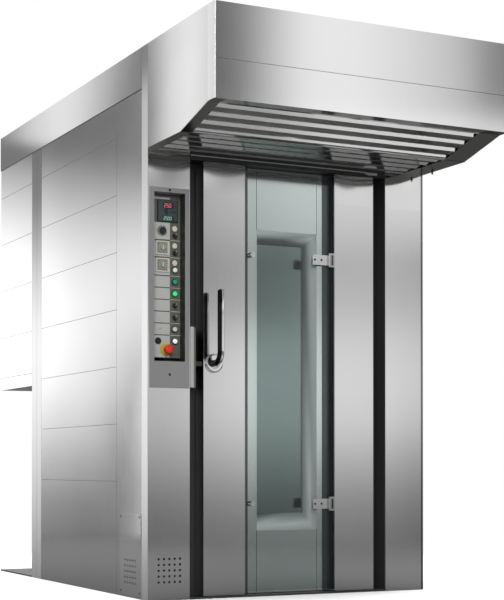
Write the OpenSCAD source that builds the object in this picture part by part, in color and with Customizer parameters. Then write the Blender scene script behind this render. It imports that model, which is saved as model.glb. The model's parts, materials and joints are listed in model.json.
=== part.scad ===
// Rotating rack oven: an insulated baking chamber in which a trolley hangs and turns, with a hinged glass
// door, a steam hood over the door and a raised rear box that holds the heat exchanger and the fan.
// Inside the modules x runs from the left side, y from the front plane towards the back, z up from the floor.

/* [Cabinet] */
// Width over the hood and the fascia bands
cabinet_w = 1400; // [1360:5:1600]
// Height to the top of the hood and the fascia bands
cabinet_h = 2400; // [2370:5:2600]
// Depth from the front plane to the back of the rear box
cabinet_d = 2130; // [2100:5:2400]
// Depth of the baking section, from the front plane to its back
main_d = 1583; // [1540:1:1610]
// Thickness of the outer steel skins
skin_t = 2; // [1:0.5:3]
// Joint between neighbouring skins
skin_seam = 2; // [1:0.5:4]
// How far the side skins lie inside the fascia bands
skin_inset = 4; // [4:0.5:8]

/* [Walls] */
// Thickness of a side wall, from the full width to the chamber
wall_t = 115; // [95:1:125]
// Thickness of the wall behind the chamber
rear_wall_t = 150; // [120:1:170]
// Depth of the front wall round the doorway
front_wall_d = 200; // [180:1:220]
// Thickness of the chamber lining sheets
lining_t = 2; // [1:0.5:3]
// Height of the chamber ceiling
ceiling_z = 1960; // [1945:5:1990]
// Thickness of the insulation over the ceiling
roof_wool_t = 125; // [80:5:140]
// Thickness of the insulation in the rear box
box_wool_t = 50; // [30:5:60]
// Top of the rails that the walls stand on
rail_h = 60; // [40:5:80]
// Thickness of the base sheet
base_t = 2; // [2:0.5:4]
// Thickness of the board under the chamber floor
floor_board_t = 4; // [3:0.5:5]
// Thickness of the chamber floor plate
floor_t = 4; // [3:0.5:5]

/* [Side panels] */
// Width of the front corner strip
strip_w = 67; // [50:1:80]
// Width of the column panel behind it
column_w = 307; // [280:1:340]
// Height of the lowest stacked panel
first_panel_h = 511; // [450:1:560]
// Height of each stacked panel above it
panel_pitch = 258.5; // [240:0.5:280]
// Height of the top fascia band
fascia_h = 180; // [150:5:220]
// Width of the flange on top of the fascia band
fascia_flange = 30; // [20:1:50]
// Width of each of the two rear post strips
post_strip_w = 75.5; // [60:0.5:90]

/* [Rear box] */
// Height of the rear box floor over the ground
box_z = 1000; // [900:5:1080]
// Height of the band at the foot of the rear box
box_band_h = 67; // [50:1:90]
// Thickness of the rear box floor plate
box_floor_t = 4; // [3:0.5:6]
// Thickness of the base plate under the burner bay
bay_plate_t = 8; // [5:0.5:12]

/* [Door] */
// Distance from the left side of the cabinet to the door leaf
door_x = 264; // [256:1:272]
// Width of the door leaf
door_w = 863; // [850:1:875]
// Height of the door leaf
door_h = 1903; // [1890:1:1910]
// Thickness of the door leaf
door_t = 80; // [74:1:88]
// Height of the leaf's lower edge over the floor
door_z = 12; // [11.5:0.5:14]
// Gap over the door leaf
door_gap = 3; // [2:0.5:4]
// Width of the brushed stile on the handle side
stile_left_w = 207; // [195:1:215]
// Width of the brushed stile on the hinge side
stile_right_w = 205; // [195:1:215]
// Wall thickness of the door's sheet boxes
door_sheet_t = 2; // [1:0.5:3]
// How far the door core lies behind the front of the stiles
core_recess = 52; // [48:1:56]
// How far the plug on the back of the leaf enters the doorway
plug_d = 60; // [40:1:70]
// How far the plug stays inside the doorway on each side
plug_clearance = 25; // [18:1:35]
// How far the plug stays over the chamber floor
plug_lift = 8; // [5:1:14]
// How far the leaf covers the frame on each side
rebate = 36; // [30:1:42]
// Thickness of the door seal
seal_t = 11.5; // [9:0.5:14]
// Width of the door seal
seal_w = 15; // [10:1:20]
// Gap between the closed seal and the frame
seal_gap = 0.5; // [0.4:0.1:1]

/* [Window] */
// Distance from the left side of the cabinet to the window
window_x = 550; // [540:1:560]
// Width of the window
window_w = 307; // [290:1:320]
// Height of the window's lower edge over the floor
window_z = 290; // [260:1:320]
// Height of the window
window_h = 1350; // [1250:5:1400]
// Thickness of the inner window glass
window_glass_t = 6; // [4:0.5:8]
// Distance of the inner glass from the back of the plug
window_glass_inset = 6; // [3:1:15]

/* [Outer glass] */
// Distance from the left side of the cabinet to the outer glass
glass_x = 490; // [480:1:500]
// Width of the outer glass
glass_w = 419; // [400:1:421]
// Height of the outer glass
glass_h = 1890; // [1800:1:1892]
// Thickness of the outer glass
glass_t = 8; // [6:0.5:8.5]
// How far the outer glass lies behind the front of the stiles
glass_recess = 35; // [33:0.5:38]
// Height of the lower glass hinge
glass_hinge_low_z = 408; // [380:1:430]
// Height of the upper glass hinge
glass_hinge_high_z = 1522; // [1490:1:1550]
// Width of a glass hinge plate
hinge_plate_w = 82; // [60:1:95]
// Height of a glass hinge plate
hinge_plate_h = 46; // [35:1:60]
// Thickness of a glass hinge plate
hinge_plate_t = 3; // [2:0.5:4]
// Outer radius of a glass hinge knuckle
knuckle_r = 8; // [7:0.5:8.5]
// How far a knuckle sinks into the front of its hinge plate
knuckle_sink = 1; // [0.5:0.5:1.5]
// How much smaller the ears' radius is than the knuckle's
ear_inset = 1; // [0.5:0.5:2]
// Height of each ear that holds a glass hinge pin
ear_h = 8; // [5:1:14]
// Radius of a glass hinge pin
hinge_pin_r = 4; // [3:0.5:5]
// Radial clearance of a glass hinge pin
hinge_pin_play = 0.05; // [0.03:0.01:0.1]
// Distance of the glass hinge axis from the edge of the hinge stile
hinge_edge = 10; // [9.5:0.5:12]
// Distance of the glass knobs from the left edge of the outer glass
knob_edge = 16; // [13:0.5:20]
// Radius of a glass knob
glass_knob_r = 12; // [9:0.5:13]
// Length of a glass knob
glass_knob_len = 36; // [25:1:45]
// Height of the lower glass knob
knob_low_z = 412; // [380:1:440]
// Height of the upper glass knob
knob_high_z = 1520; // [1480:1:1550]
// Radius of the knob spindle that passes through the glass
glass_spindle_r = 5; // [4:0.5:6]

/* [Door pivots] */
// Distance of the door axis from the hinge edge of the leaf
pivot_edge = 15; // [13:1:25]
// Distance of the door axis behind the front plane
pivot_y = 35; // [32:1:38]
// Radius of the pivot pins
pivot_r = 10; // [8:0.5:12]
// Radial clearance of the pivot pins
pivot_play = 0.05; // [0.03:0.01:0.1]
// How far the top pivot pin enters the header
pivot_reach = 15; // [10:1:20]
// Thickness left under the socket of the lower pivot pin
pivot_floor = 1; // [0.5:0.5:2]
// Gap under the lower pivot pin
pivot_foot_gap = 0.5; // [0.5:0.5:1.5]

/* [Handle] */
// Distance of the handle axis from the left edge of the leaf
handle_inset = 49; // [45:1:60]
// Height of the handle axis over the floor
handle_z = 1030; // [1000:1:1060]
// Radius of the handle tube
handle_r = 15; // [12:0.5:17]
// Distance of the lever from the front of the stile
handle_standoff = 75; // [65:1:90]
// Radius of the bend in the handle
handle_bend_r = 50; // [35:1:60]
// Height of the lever over the handle axis
handle_len = 320; // [260:5:360]
// Radius of the handle rosette
rosette_r = 42; // [32:1:46]
// Thickness of the handle rosette
rosette_t = 10; // [6:1:14]
// Radius of the handle spindle
spindle_r = 8; // [6:0.5:10]
// Clearance round the handle in its rosette and its stile
handle_play = 0.3; // [0.2:0.05:0.5]
// Radius of the disc that moves the bolt
crank_r = 22; // [16:1:30]
// Thickness of the disc that moves the bolt
crank_t = 6; // [4:0.5:10]

/* [Latch] */
// Height of the latch bolt
bolt_h = 20; // [14:1:26]
// Thickness of the latch bolt
bolt_t = 16; // [12:1:20]
// Length of the latch bolt
bolt_len = 72; // [60:1:90]
// How far the bolt stands out of the leaf when it is thrown
bolt_throw = 18; // [16:1:20]
// Distance of the bolt behind the front of the stile
bolt_y = 50; // [50:1:54]
// Clearance round the bolt where it leaves the leaf
bolt_play = 0.4; // [0.3:0.1:0.8]
// Height of the keeper plate
keeper_h = 265; // [220:5:300]
// Height of the keeper's lower edge over the floor
keeper_z = 923; // [900:1:950]
// Thickness of the keeper plate
keeper_t = 3; // [2:0.5:4]
// Width of the keeper's front face
keeper_face_w = 21; // [17:1:24]
// Distance of the keeper's front face behind the front plane
keeper_y = 10; // [6:1:14]
// Depth of the keeper's step
keeper_step = 33; // [26:1:36]
// Gap between the thrown bolt and the keeper's lip
keeper_gap = 2; // [1.5:0.5:4]

/* [Door frame] */
// Width of the black channel on each side of the leaf
jamb_gap = 66; // [60:1:70]
// Thickness of the black frame sheets
frame_t = 3; // [2:0.5:4]
// Height of the black header
header_h = 32; // [28:1:40]
// Height of the threshold over the floor
threshold_h = 9; // [7:0.5:11]

/* [Control panel] */
// Width of the bezel
bezel_w = 185; // [180:1:188]
// Height of the bezel
bezel_h = 867; // [855:1:890]
// Height of the bezel's lower edge over the floor
bezel_z = 917; // [900:1:930]
// Thickness of the bezel sheet
bezel_t = 3; // [2:0.5:4]
// Width of the bezel's frame beside the opening
bezel_side = 20; // [17:1:22]
// Width of the bezel's frame above the opening
bezel_top = 20; // [16:1:30]
// Width of the bezel's frame below the opening
bezel_foot = 116; // [100:1:130]
// Depth of the recessed control plate behind the front plane
recess = 50; // [46:1:58]
// Thickness of the control plate
plate_t = 3; // [2:0.5:4]
// Height of the gap under the control plate
plate_slot = 18; // [10:1:24]
// Distance of the right-hand row of controls from the right edge of the opening
row_edge = 27; // [24:1:30]
// Distance of the left-hand row of controls from the left edge of the opening
dial_edge = 58; // [54:1:62]
// Height of the temperature controller's centre
thermostat_z = 1691; // [1685:1:1700]
// How far the temperature controller's centre lies right of the middle of the plate
thermostat_shift = 10; // [4:1:16]
// Side of the square temperature controller
thermostat_side = 96; // [90:1:100]
// How far the temperature controller stands out of its plate
thermostat_t = 8; // [4:1:12]
// Height of the topmost selector
switch_z = 1585; // [1582:1:1590]
// Pitch of the upper three rows
group_pitch = 75; // [73:1:76]
// Height of a lamp over its selector
lamp_rise = 31; // [30:1:33]
// Height of a dial over its selector
dial_rise = 20; // [16:1:24]
// Pitch of the lower rows
row_pitch = 51.8; // [50:0.2:53]
// Radius of a push button
button_r = 11; // [9:0.5:12]
// How far a push button stands out of its plate
button_proud = 11; // [8:1:16]
// Travel of a push button
button_travel = 4; // [3:0.5:5]
// Width of the collar round a push button
collar_w = 2.7; // [2:0.1:4]
// How far a collar stands out of the plate
collar_t = 3; // [2:0.5:5]
// Clearance round a push button
button_play = 0.3; // [0.2:0.05:0.5]
// How far a knob's shaft stands out behind its plate
shaft_end = 4; // [2:0.5:8]
// Radius of an indicator lamp
lamp_r = 13; // [10:0.5:14]
// How far an indicator lamp stands out of the plate
lamp_t = 5; // [3:0.5:8]
// Radius of a selector knob
selector_r = 11; // [9:0.5:12]
// How far a selector stands out of the plate
selector_t = 10; // [8:0.5:14]
// Height of the grip bar on a selector
grip_t = 6; // [4:0.5:8]
// Thickness of the grip bar on a selector
grip_w = 5; // [4:0.5:7]
// Distance of the grip bar's ends from the selector's rim
grip_inset = 1; // [0.5:0.5:3]
// Radius of the shafts of the knobs and dials
shaft_r = 4; // [3:0.5:5]
// Radial clearance of the knob shafts
shaft_play = 0.05; // [0.03:0.01:0.1]
// Gap between a knob and what it turns on
knob_gap = 0.5; // [0.3:0.1:1]
// Radius of the main knob's skirt
main_knob_r = 23; // [18:0.5:26]
// Thickness of the main knob's skirt
main_skirt_t = 4; // [3:0.5:6]
// Radius of the main knob's cap
main_cap_r = 14; // [10:0.5:16]
// Height of the main knob's cap over its skirt
main_cap_t = 10; // [7:0.5:14]
// Side of a square timer housing
timer_side = 54; // [50:1:58]
// How far a timer housing stands out of the plate
timer_t = 5; // [4:0.5:8]
// Radius of a timer dial
timer_dial_r = 19; // [15:0.5:22]
// Thickness of a timer dial
timer_dial_t = 10; // [7:0.5:14]
// Radius of the collar under the emergency stop
stop_collar_r = 28; // [24:1:32]
// Radius of the emergency stop's head
stop_head_r = 20; // [17:0.5:22]
// Thickness of the emergency stop's head
stop_head_t = 14; // [10:1:18]
// How far the emergency stop stands out of the plate
stop_proud = 40; // [34:1:44]
// Radius of the emergency stop's neck
stop_neck_r = 12; // [9:0.5:14]
// Travel of the emergency stop
stop_travel = 5; // [4:0.5:7]
// Height of the emergency stop over the floor
stop_z = 1087; // [1083:1:1090]
// Distance of the emergency stop from the left edge of the opening
stop_edge = 78; // [74:1:80]
// Radius of the buzzer
buzzer_r = 11; // [8:0.5:12]
// Distance of the buzzer from the left edge of the opening
buzzer_edge = 40; // [34:1:44]

/* [Vents] */
// Radius of a vent hole
vent_r = 5.25; // [4:0.25:7]
// Holes along each side of a vent field
vent_count = 5; // [3:1:5]
// Pitch of the front vent holes
front_vent_pitch = 25; // [20:0.5:28]
// Height of the front vent field's centre
front_vent_z = 129; // [110:1:160]
// Pitch of the side vent holes along the depth
side_vent_pitch = 30; // [22:0.5:34]
// Height of the side vent field's centre
side_vent_z = 115; // [105:1:150]
// Width of the side vent cover
cover_w = 243; // [220:1:270]
// Height of the side vent cover
cover_h = 358; // [320:1:400]
// Height of the side vent cover over the floor
cover_z = 12; // [8:1:30]
// How far the side vent cover lies in front of the middle of the column panel
cover_shift = 17; // [10:1:22]
// Thickness of the side vent cover
cover_t = 3; // [1.5:0.5:3]
// Width of the cover's rim that lies on the panel
cover_rim = 20; // [14:1:26]
// Radius of a screw head
screw_r = 5; // [4:0.5:6]
// Thickness of a screw head
screw_t = 1; // [0.5:0.25:1]
// Distance of a cover screw from the edges of its plate
screw_edge = 10; // [8:0.5:13]

/* [Hood] */
// How far the hood stands out of the front plane
hood_reach = 675; // [600:5:720]
// Height of the hood's front edge over its flat underside
hood_rise = 68; // [40:1:90]
// Depth of the hood's flat underside
hood_flat_d = 345; // [310:5:360]
// Height of the lower front panel
hood_lower_h = 158; // [130:1:200]
// Width of the strip at each front corner of the hood
hood_strip_w = 6; // [5:1:26]
// Depth of the hood's recessed top under its rim
hood_top_drop = 70; // [66:1:100]
// Depth of the polished lip under the front edge
lip_w = 58; // [40:1:70]
// Width of a grille's frame at its left end
grille_end_w = 50; // [40:1:80]
// Width of a grille's frame at its right end
grille_far_w = 105; // [60:1:120]
// Width of a grille's frame along its front and back
grille_edge_w = 10; // [8:1:16]
// Distance of the first sloping slat from the front of its grille
slant_lead = 30; // [12:1:40]
// Distance of the last sloping slat from the back of its grille
slant_trail = 5; // [4:1:20]
// Thickness of the grille sheets
grille_t = 2; // [1:0.5:3]
// Slats in each grille
slat_count = 4; // [3:1:5]
// Width of a slat in the sloping grille
slant_slat_w = 18; // [16:1:46]
// Angle by which the slats of the sloping grille face forwards
slant_slat_tilt = 30; // [0:1:40]
// Width of a slat in the flat grille
flat_slat_w = 36; // [26:1:44]
// Angle by which the slats of the flat grille face forwards
flat_slat_tilt = 9; // [0:1:30]
// Distance of the outer slats of the flat grille from its front and back
flat_margin = 29; // [12:1:40]
// Height of a slat's turned-up edges
slat_lip = 7; // [6:1:14]

/* [Flue collars] */
// Outer radius of a flue collar
flue_r = 75; // [65:1:80]
// Wall thickness of a flue collar
flue_wall = 2; // [1:0.5:3]
// Length of a flue collar over its flange
flue_len = 60; // [40:1:62]
// Radius of a flue collar's flange
flue_flange_r = 100; // [92:1:105]
// Thickness of a flue collar's flange
flue_flange_t = 3; // [2:0.5:4]
// Distance of the burner flue from the left side of the cabinet
flue_x = 170; // [165:1:180]
// Distance of the hood collar in front of the front plane
hood_collar_y = 220; // [180:5:260]

/* [Rack drive] */
// Radius of the rack shaft
rack_shaft_r = 25; // [20:0.5:30]
// Radial clearance of the rack shaft in its bearing
rack_shaft_play = 0.05; // [0.03:0.01:0.1]
// Radius of the holes that the rack shaft passes through
rack_hole_r = 34; // [32:1:40]
// Outer radius of the bearing flange
bearing_r = 65; // [55:1:80]
// Thickness of the bearing flange
bearing_t = 18; // [12:1:24]
// Side of the square gearbox
gearbox_side = 160; // [140:5:190]
// Height of the gearbox
gearbox_h = 130; // [110:5:140]
// Radius of the gearmotor's motor
motor_r = 62; // [50:1:64]
// Length of the gearmotor's motor
motor_len = 230; // [180:5:280]
// Radius of the lifting disc on the rack shaft
disc_r = 130; // [100:5:160]
// Thickness of the lifting disc
disc_t = 10; // [8:1:16]
// Distance of the lifting disc under the chamber ceiling
disc_drop = 14; // [10:1:20]
// Length of the rails that hold the trolley
rail_len = 260; // [200:5:300]
// Gap between the two rails
rail_gap = 90; // [70:1:110]
// Height of the rails
hook_h = 55; // [45:1:65]
// Thickness of the rails
hook_t = 10; // [8:1:14]
// Width of the lips that the trolley's head rests on
hook_lip = 24; // [18:1:28]

/* [Air and heat] */
// Width of the air ducts on both sides of the chamber
duct_w = 70; // [50:1:75]
// Distance of an air duct from the front wall
duct_start = 120; // [80:5:160]
// Thickness of the duct sheets
duct_t = 2; // [1:0.5:3]
// Height of a duct slot
slot_h = 8; // [5:1:14]
// Pitch of the duct slots
slot_pitch = 110; // [90:5:140]
// Distance of the slots from the ends of their duct
slot_end = 90; // [60:5:140]
// Lower edge of the air ports through the rear wall
port_z0 = 1100; // [1090:5:1200]
// Upper edge of the air ports through the rear wall
port_z1 = 1900; // [1800:5:1905]
// Distance of the combustion drum from the left side of the cabinet
drum_x = 620; // [600:1:640]
// Radius of the combustion drum
drum_r = 170; // [150:1:180]
// Height of the combustion drum
drum_h = 600; // [500:5:650]
// Wall thickness of the drum and the smoke tubes
drum_wall = 3; // [2:0.5:5]
// How much wider the drum's mouth is than the burner's bore
drum_mouth_play = 8; // [4:1:14]
// Height of the smoke manifolds
manifold_h = 60; // [40:1:80]
// Depth of the smoke manifolds
manifold_d = 240; // [200:5:280]
// Radius of a smoke tube
smoke_r = 22; // [16:1:24]
// Pitch of the smoke tubes
smoke_pitch = 60; // [54:1:64]
// Rows of smoke tubes along the width
smoke_columns = 2; // [1:1:2]
// Rows of smoke tubes along the depth
smoke_rows = 4; // [2:1:4]
// Gap between the exchanger and the insulation under it
exchanger_gap = 20; // [10:1:40]
// Distance of the fan from the right side of the cabinet
fan_x = 340; // [300:5:350]
// Radius of the fan impeller
fan_r = 190; // [160:5:200]
// Height of the fan impeller
fan_h = 120; // [90:5:140]
// Distance of the fan impeller under the roof deck
fan_drop = 70; // [50:5:90]
// Radius of the impeller's inlet
fan_inlet_r = 114; // [95:1:120]
// Blades of the fan
blade_count = 8; // [6:1:10]
// Width of a fan blade
blade_w = 80; // [50:1:80]
// Slant of a fan blade, in degrees
blade_angle = 35; // [20:1:45]
// Thickness of the fan's sheets
blade_t = 4; // [3:0.5:6]
// Radius of the fan shaft
fan_shaft_r = 14; // [10:0.5:18]
// Radial clearance of the fan shaft
fan_shaft_play = 0.05; // [0.03:0.01:0.1]
// Clearance round the fan shaft in the roof deck
deck_hole_play = 1; // [0.5:0.25:3]
// How far the fan shaft reaches into its motor
fan_socket = 28; // [20:1:60]
// Gap between the end of the fan shaft and the bottom of its bore
fan_end_gap = 2; // [1:0.5:4]
// Radius of the fan motor
fan_motor_r = 95; // [80:1:105]
// Height of the fan motor
fan_motor_h = 230; // [180:5:250]
// Side of the fan motor's base plate
fan_base = 260; // [220:5:300]
// Thickness of the fan motor's base plate
fan_base_t = 8; // [6:1:12]

/* [Burner flange] */
// Radius of the burner's bore
burner_r = 62; // [55:0.5:66]
// Radius of the burner flange
burner_flange_r = 125; // [118:1:140]
// Thickness of the burner flange
burner_flange_t = 12; // [8:1:16]
// Radius of the circle of burner bolts
burner_bolt_circle_r = 100; // [92:1:105]
// Radius of a burner bolt hole
burner_bolt_r = 5; // [4:0.5:6.5]
// Number of burner bolts
burner_bolts = 4; // [4:1:4]

/* [Steam] */
// Width of the steam generator
steam_w = 360; // [300:5:420]
// Height of the steam generator
steam_h = 720; // [600:10:800]
// Depth of the steam generator
steam_d = 80; // [60:1:85]
// Height of the steam generator over the floor
steam_z = 150; // [120:5:200]
// Distance of the steam generator from the middle of the cabinet
steam_x = 60; // [40:5:80]
// Pitch of the cast bars in the steam generator
steam_pitch = 60; // [50:1:80]
// Thickness of the cast bars
steam_bar_t = 16; // [10:1:24]
// Slope of the cast bars, in degrees
steam_tilt = 20; // [10:1:25]
// Thickness of the steam generator's cheeks
steam_cheek = 5; // [4:0.5:8]
// Outer radius of the water inlet
inlet_r = 10.5; // [8:0.5:12]
// Radius of the water inlet's bore
inlet_bore_r = 5.5; // [4:0.5:6]
// How much thinner the water pipe is inside the wall
inlet_step = 2.5; // [1:0.5:3]
// Clearance round the water pipe in the wall
inlet_play = 1; // [0.5:0.25:1]
// How far the water inlet stands out of the back
inlet_len = 30; // [24:1:45]

/* [Hidden] */
$fn = 64;
// Play that keeps separate sheets of one sub-part from fusing
sheet_gap = 0.5;
// Extra length of a cut, so that it runs past both faces
past = 1;
front_y = -(cabinet_d - hood_reach) / 2;
mid_x = cabinet_w / 2;
skin_in = skin_inset + skin_t;
column_y = strip_w + column_w;
post_y = main_d - 2 * post_strip_w;
fascia_z = cabinet_h - fascia_h;
door_x1 = door_x + door_w;
door_z1 = door_z + door_h;
jamb_x0 = door_x - jamb_gap;
jamb_x1 = door_x1 + jamb_gap;
header_z = door_z1 + door_gap;
hood_z = header_z + header_h;
hood_front_z = hood_z + hood_rise;
frame_y = door_t + seal_t + seal_gap;
way_x0 = door_x + rebate;
way_x1 = door_x1 - rebate;
way_z1 = door_z1 - rebate;
wall_y = frame_y + frame_t;
floor_z = base_t + floor_board_t + floor_t;
chamber_x1 = cabinet_w - wall_t;
chamber_y1 = main_d - rear_wall_t;
rack_y = (front_wall_d + chamber_y1) / 2;
deck_z = ceiling_z + lining_t + roof_wool_t;
deck_top = deck_z + skin_t;
box_y = (main_d + cabinet_d - skin_t - box_wool_t) / 2;
box_inner_z = box_z + box_floor_t + box_wool_t;
core_y = core_recess;
core_x0 = door_x + stile_left_w;
core_x1 = door_x1 - stile_right_w;
window_x1 = window_x + window_w;
window_z1 = window_z + window_h;
leaf_back = door_t + plug_d;
pivot_x = door_x1 - pivot_edge;
hinge_x = core_x1 - hinge_edge;
hinge_y = glass_recess - hinge_plate_t - knuckle_r + knuckle_sink;
glass_x1 = glass_x + glass_w;
glass_z = door_z + (door_h - glass_h) / 2;
knob_x = glass_x + knob_edge;
handle_x = door_x + handle_inset;
opening_x0 = (jamb_x0 - bezel_w) / 2 + bezel_side + bezel_t;
opening_x1 = (jamb_x0 + bezel_w) / 2 - bezel_side + bezel_t;
bezel_x0 = opening_x0 - bezel_side;
opening_z0 = bezel_z + bezel_foot;
opening_z1 = bezel_z + bezel_h - bezel_top;
right_row_x = opening_x1 - row_edge;
left_row_x = opening_x0 + dial_edge;
thermostat_x = (opening_x0 + opening_x1) / 2 + thermostat_shift;
column_mid_y = strip_w + column_w / 2;
cover_y = column_mid_y - cover_w / 2 - cover_shift;
hood_bend_y = -hood_reach + skin_t + sheet_gap + lip_w;
hood_slope = atan(hood_rise / (-hood_flat_d - hood_bend_y));
hood_slope_len = norm([hood_rise, -hood_flat_d - hood_bend_y]);
hood_top_z = cabinet_h - hood_top_drop;
fan_centre_x = cabinet_w - fan_x;
fan_z = deck_z - fan_drop - fan_h;
drum_z = box_inner_z + exchanger_gap;
manifold_z = drum_z + drum_h;

module place() translate([-mid_x, front_y, 0]) children();

module block(from, to) translate(from) cube(to - from);

// A sheet box with a drain slot in its underside
module sheet_box(from, to, t) {
    drain = [10, 6];
    middle = (from + to) / 2;
    difference() {
        block(from, to);
        block(from + [t, t, t], to - [t, t, t]);
        translate([middle[0] - drain[0] / 2, middle[1] - drain[1] / 2, from[2] - past])
            cube([drain[0], drain[1], t + 2 * past]);
    }
}

// A rectangular tube that is open at both ends along x or y
module box_tube(from, to, t, along) {
    inset = along == "x" ? [-past, t, t] : [t, -past, t];
    difference() {
        block(from, to);
        block(from + inset, to - inset);
    }
}

// A cylinder along y from y0 to y1
module rod_y(x, z, y0, y1, r) translate([x, y0, z]) rotate([-90, 0, 0]) cylinder(r = r, h = y1 - y0);

// A cylinder along z from z0 to z1
module rod_z(x, y, z0, z1, r) translate([x, y, z0]) cylinder(r = r, h = z1 - z0);

module mirrored_x() {
    children();
    translate([cabinet_w, 0, 0]) mirror([1, 0, 0]) children();
}

module base_frame() color("dimgray") place() {
    block([skin_in, skin_t, 0], [cabinet_w - skin_in, main_d - skin_t, base_t]);
    mirrored_x()
        box_tube([skin_in, wall_y, base_t], [wall_t - lining_t, main_d - skin_t, rail_h], frame_t, "y");
    box_tube([wall_t - lining_t, chamber_y1 + lining_t, base_t],
        [chamber_x1 + lining_t, main_d - skin_t, rail_h], frame_t, "x");
    block([skin_inset, main_d, 0], [cabinet_w - skin_inset, cabinet_d, bay_plate_t]);
}

module chamber_floor() color("lightsteelblue") place() {
    block([wall_t, front_wall_d, floor_z - floor_t], [chamber_x1, chamber_y1, floor_z]);
    block([way_x0, wall_y, floor_z - floor_t], [way_x1, front_wall_d, floor_z]);
}

module chamber_lining() color("silver") place() {
    mirrored_x()
        block([wall_t - lining_t, front_wall_d, floor_z], [wall_t, chamber_y1, ceiling_z - sheet_gap]);
    block([wall_t + sheet_gap, front_wall_d - lining_t, floor_z], [way_x0, front_wall_d, way_z1]);
    block([way_x1, front_wall_d - lining_t, floor_z], [chamber_x1 - sheet_gap, front_wall_d, way_z1]);
    block([wall_t + sheet_gap, front_wall_d - lining_t, way_z1 + sheet_gap],
        [chamber_x1 - sheet_gap, front_wall_d, ceiling_z - sheet_gap]);
    difference() {
        block([wall_t + sheet_gap, chamber_y1, floor_z],
            [chamber_x1 - sheet_gap, chamber_y1 + lining_t, port_z0]);
        inlet_hole(chamber_y1 - past, chamber_y1 + lining_t + past);
    }
    block([wall_t + duct_w, chamber_y1, port_z0 + sheet_gap],
        [chamber_x1 - duct_w, chamber_y1 + lining_t, port_z1 - sheet_gap]);
    block([wall_t + sheet_gap, chamber_y1, port_z1],
        [chamber_x1 - sheet_gap, chamber_y1 + lining_t, ceiling_z - sheet_gap]);
    difference() {
        block([wall_t - lining_t, front_wall_d, ceiling_z],
            [chamber_x1 + lining_t, chamber_y1, ceiling_z + lining_t]);
        rod_z(mid_x, rack_y, ceiling_z - past, ceiling_z + lining_t + past, rack_hole_r);
    }
}

module air_ducts() color("gainsboro") place() {
    y0 = front_wall_d + duct_start;
    slot_z0 = rail_h + slot_end;
    slots = floor((ceiling_z - slot_end - slot_z0) / slot_pitch);
    mirrored_x() {
        difference() {
            block([wall_t + duct_w - duct_t, y0, floor_z], [wall_t + duct_w, chamber_y1, ceiling_z]);
            for (i = [0 : slots])
                translate([wall_t + duct_w - duct_t - past, y0 + slot_end, slot_z0 + i * slot_pitch])
                    cube([duct_t + 2 * past, chamber_y1 - y0 - 2 * slot_end, slot_h]);
        }
        block([wall_t, y0, floor_z], [wall_t + duct_w - duct_t - sheet_gap, y0 + duct_t, ceiling_z]);
    }
}

// A stack of sloping cast bars between two cheeks, with the pipe that brings its water through the back
module steam_generator() color("slategray") place() {
    x0 = mid_x + steam_x;
    y0 = chamber_y1 - steam_d;
    bars = floor((steam_h - steam_bar_t) / steam_pitch);
    inlet_z = steam_z + steam_h - steam_pitch / 2;
    inlet_x = x0 + steam_w / 2;
    block([x0, y0, steam_z], [x0 + steam_cheek, chamber_y1, steam_z + steam_h]);
    block([x0 + steam_w - steam_cheek, y0, steam_z], [x0 + steam_w, chamber_y1, steam_z + steam_h]);
    block([x0, chamber_y1 - steam_cheek, steam_z], [x0 + steam_w, chamber_y1, steam_z + steam_h]);
    for (i = [0 : bars])
        translate([x0 + steam_cheek / 2, y0 + steam_bar_t, steam_z + i * steam_pitch])
            rotate([steam_tilt, 0, 0])
                cube([steam_w - steam_cheek, steam_d - 2 * steam_bar_t, steam_bar_t]);
    difference() {
        union() {
            rod_y(inlet_x, inlet_z, chamber_y1 - steam_cheek, main_d + past, inlet_r - inlet_step);
            rod_y(inlet_x, inlet_z, main_d, main_d + inlet_len, inlet_r);
        }
        rod_y(inlet_x, inlet_z, chamber_y1 - steam_cheek - past, main_d + inlet_len + past, inlet_bore_r);
    }
}

module inlet_hole(y0, y1)
    rod_y(mid_x + steam_x + steam_w / 2, steam_z + steam_h - steam_pitch / 2, y0, y1,
        inlet_r - inlet_step + inlet_play);

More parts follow.
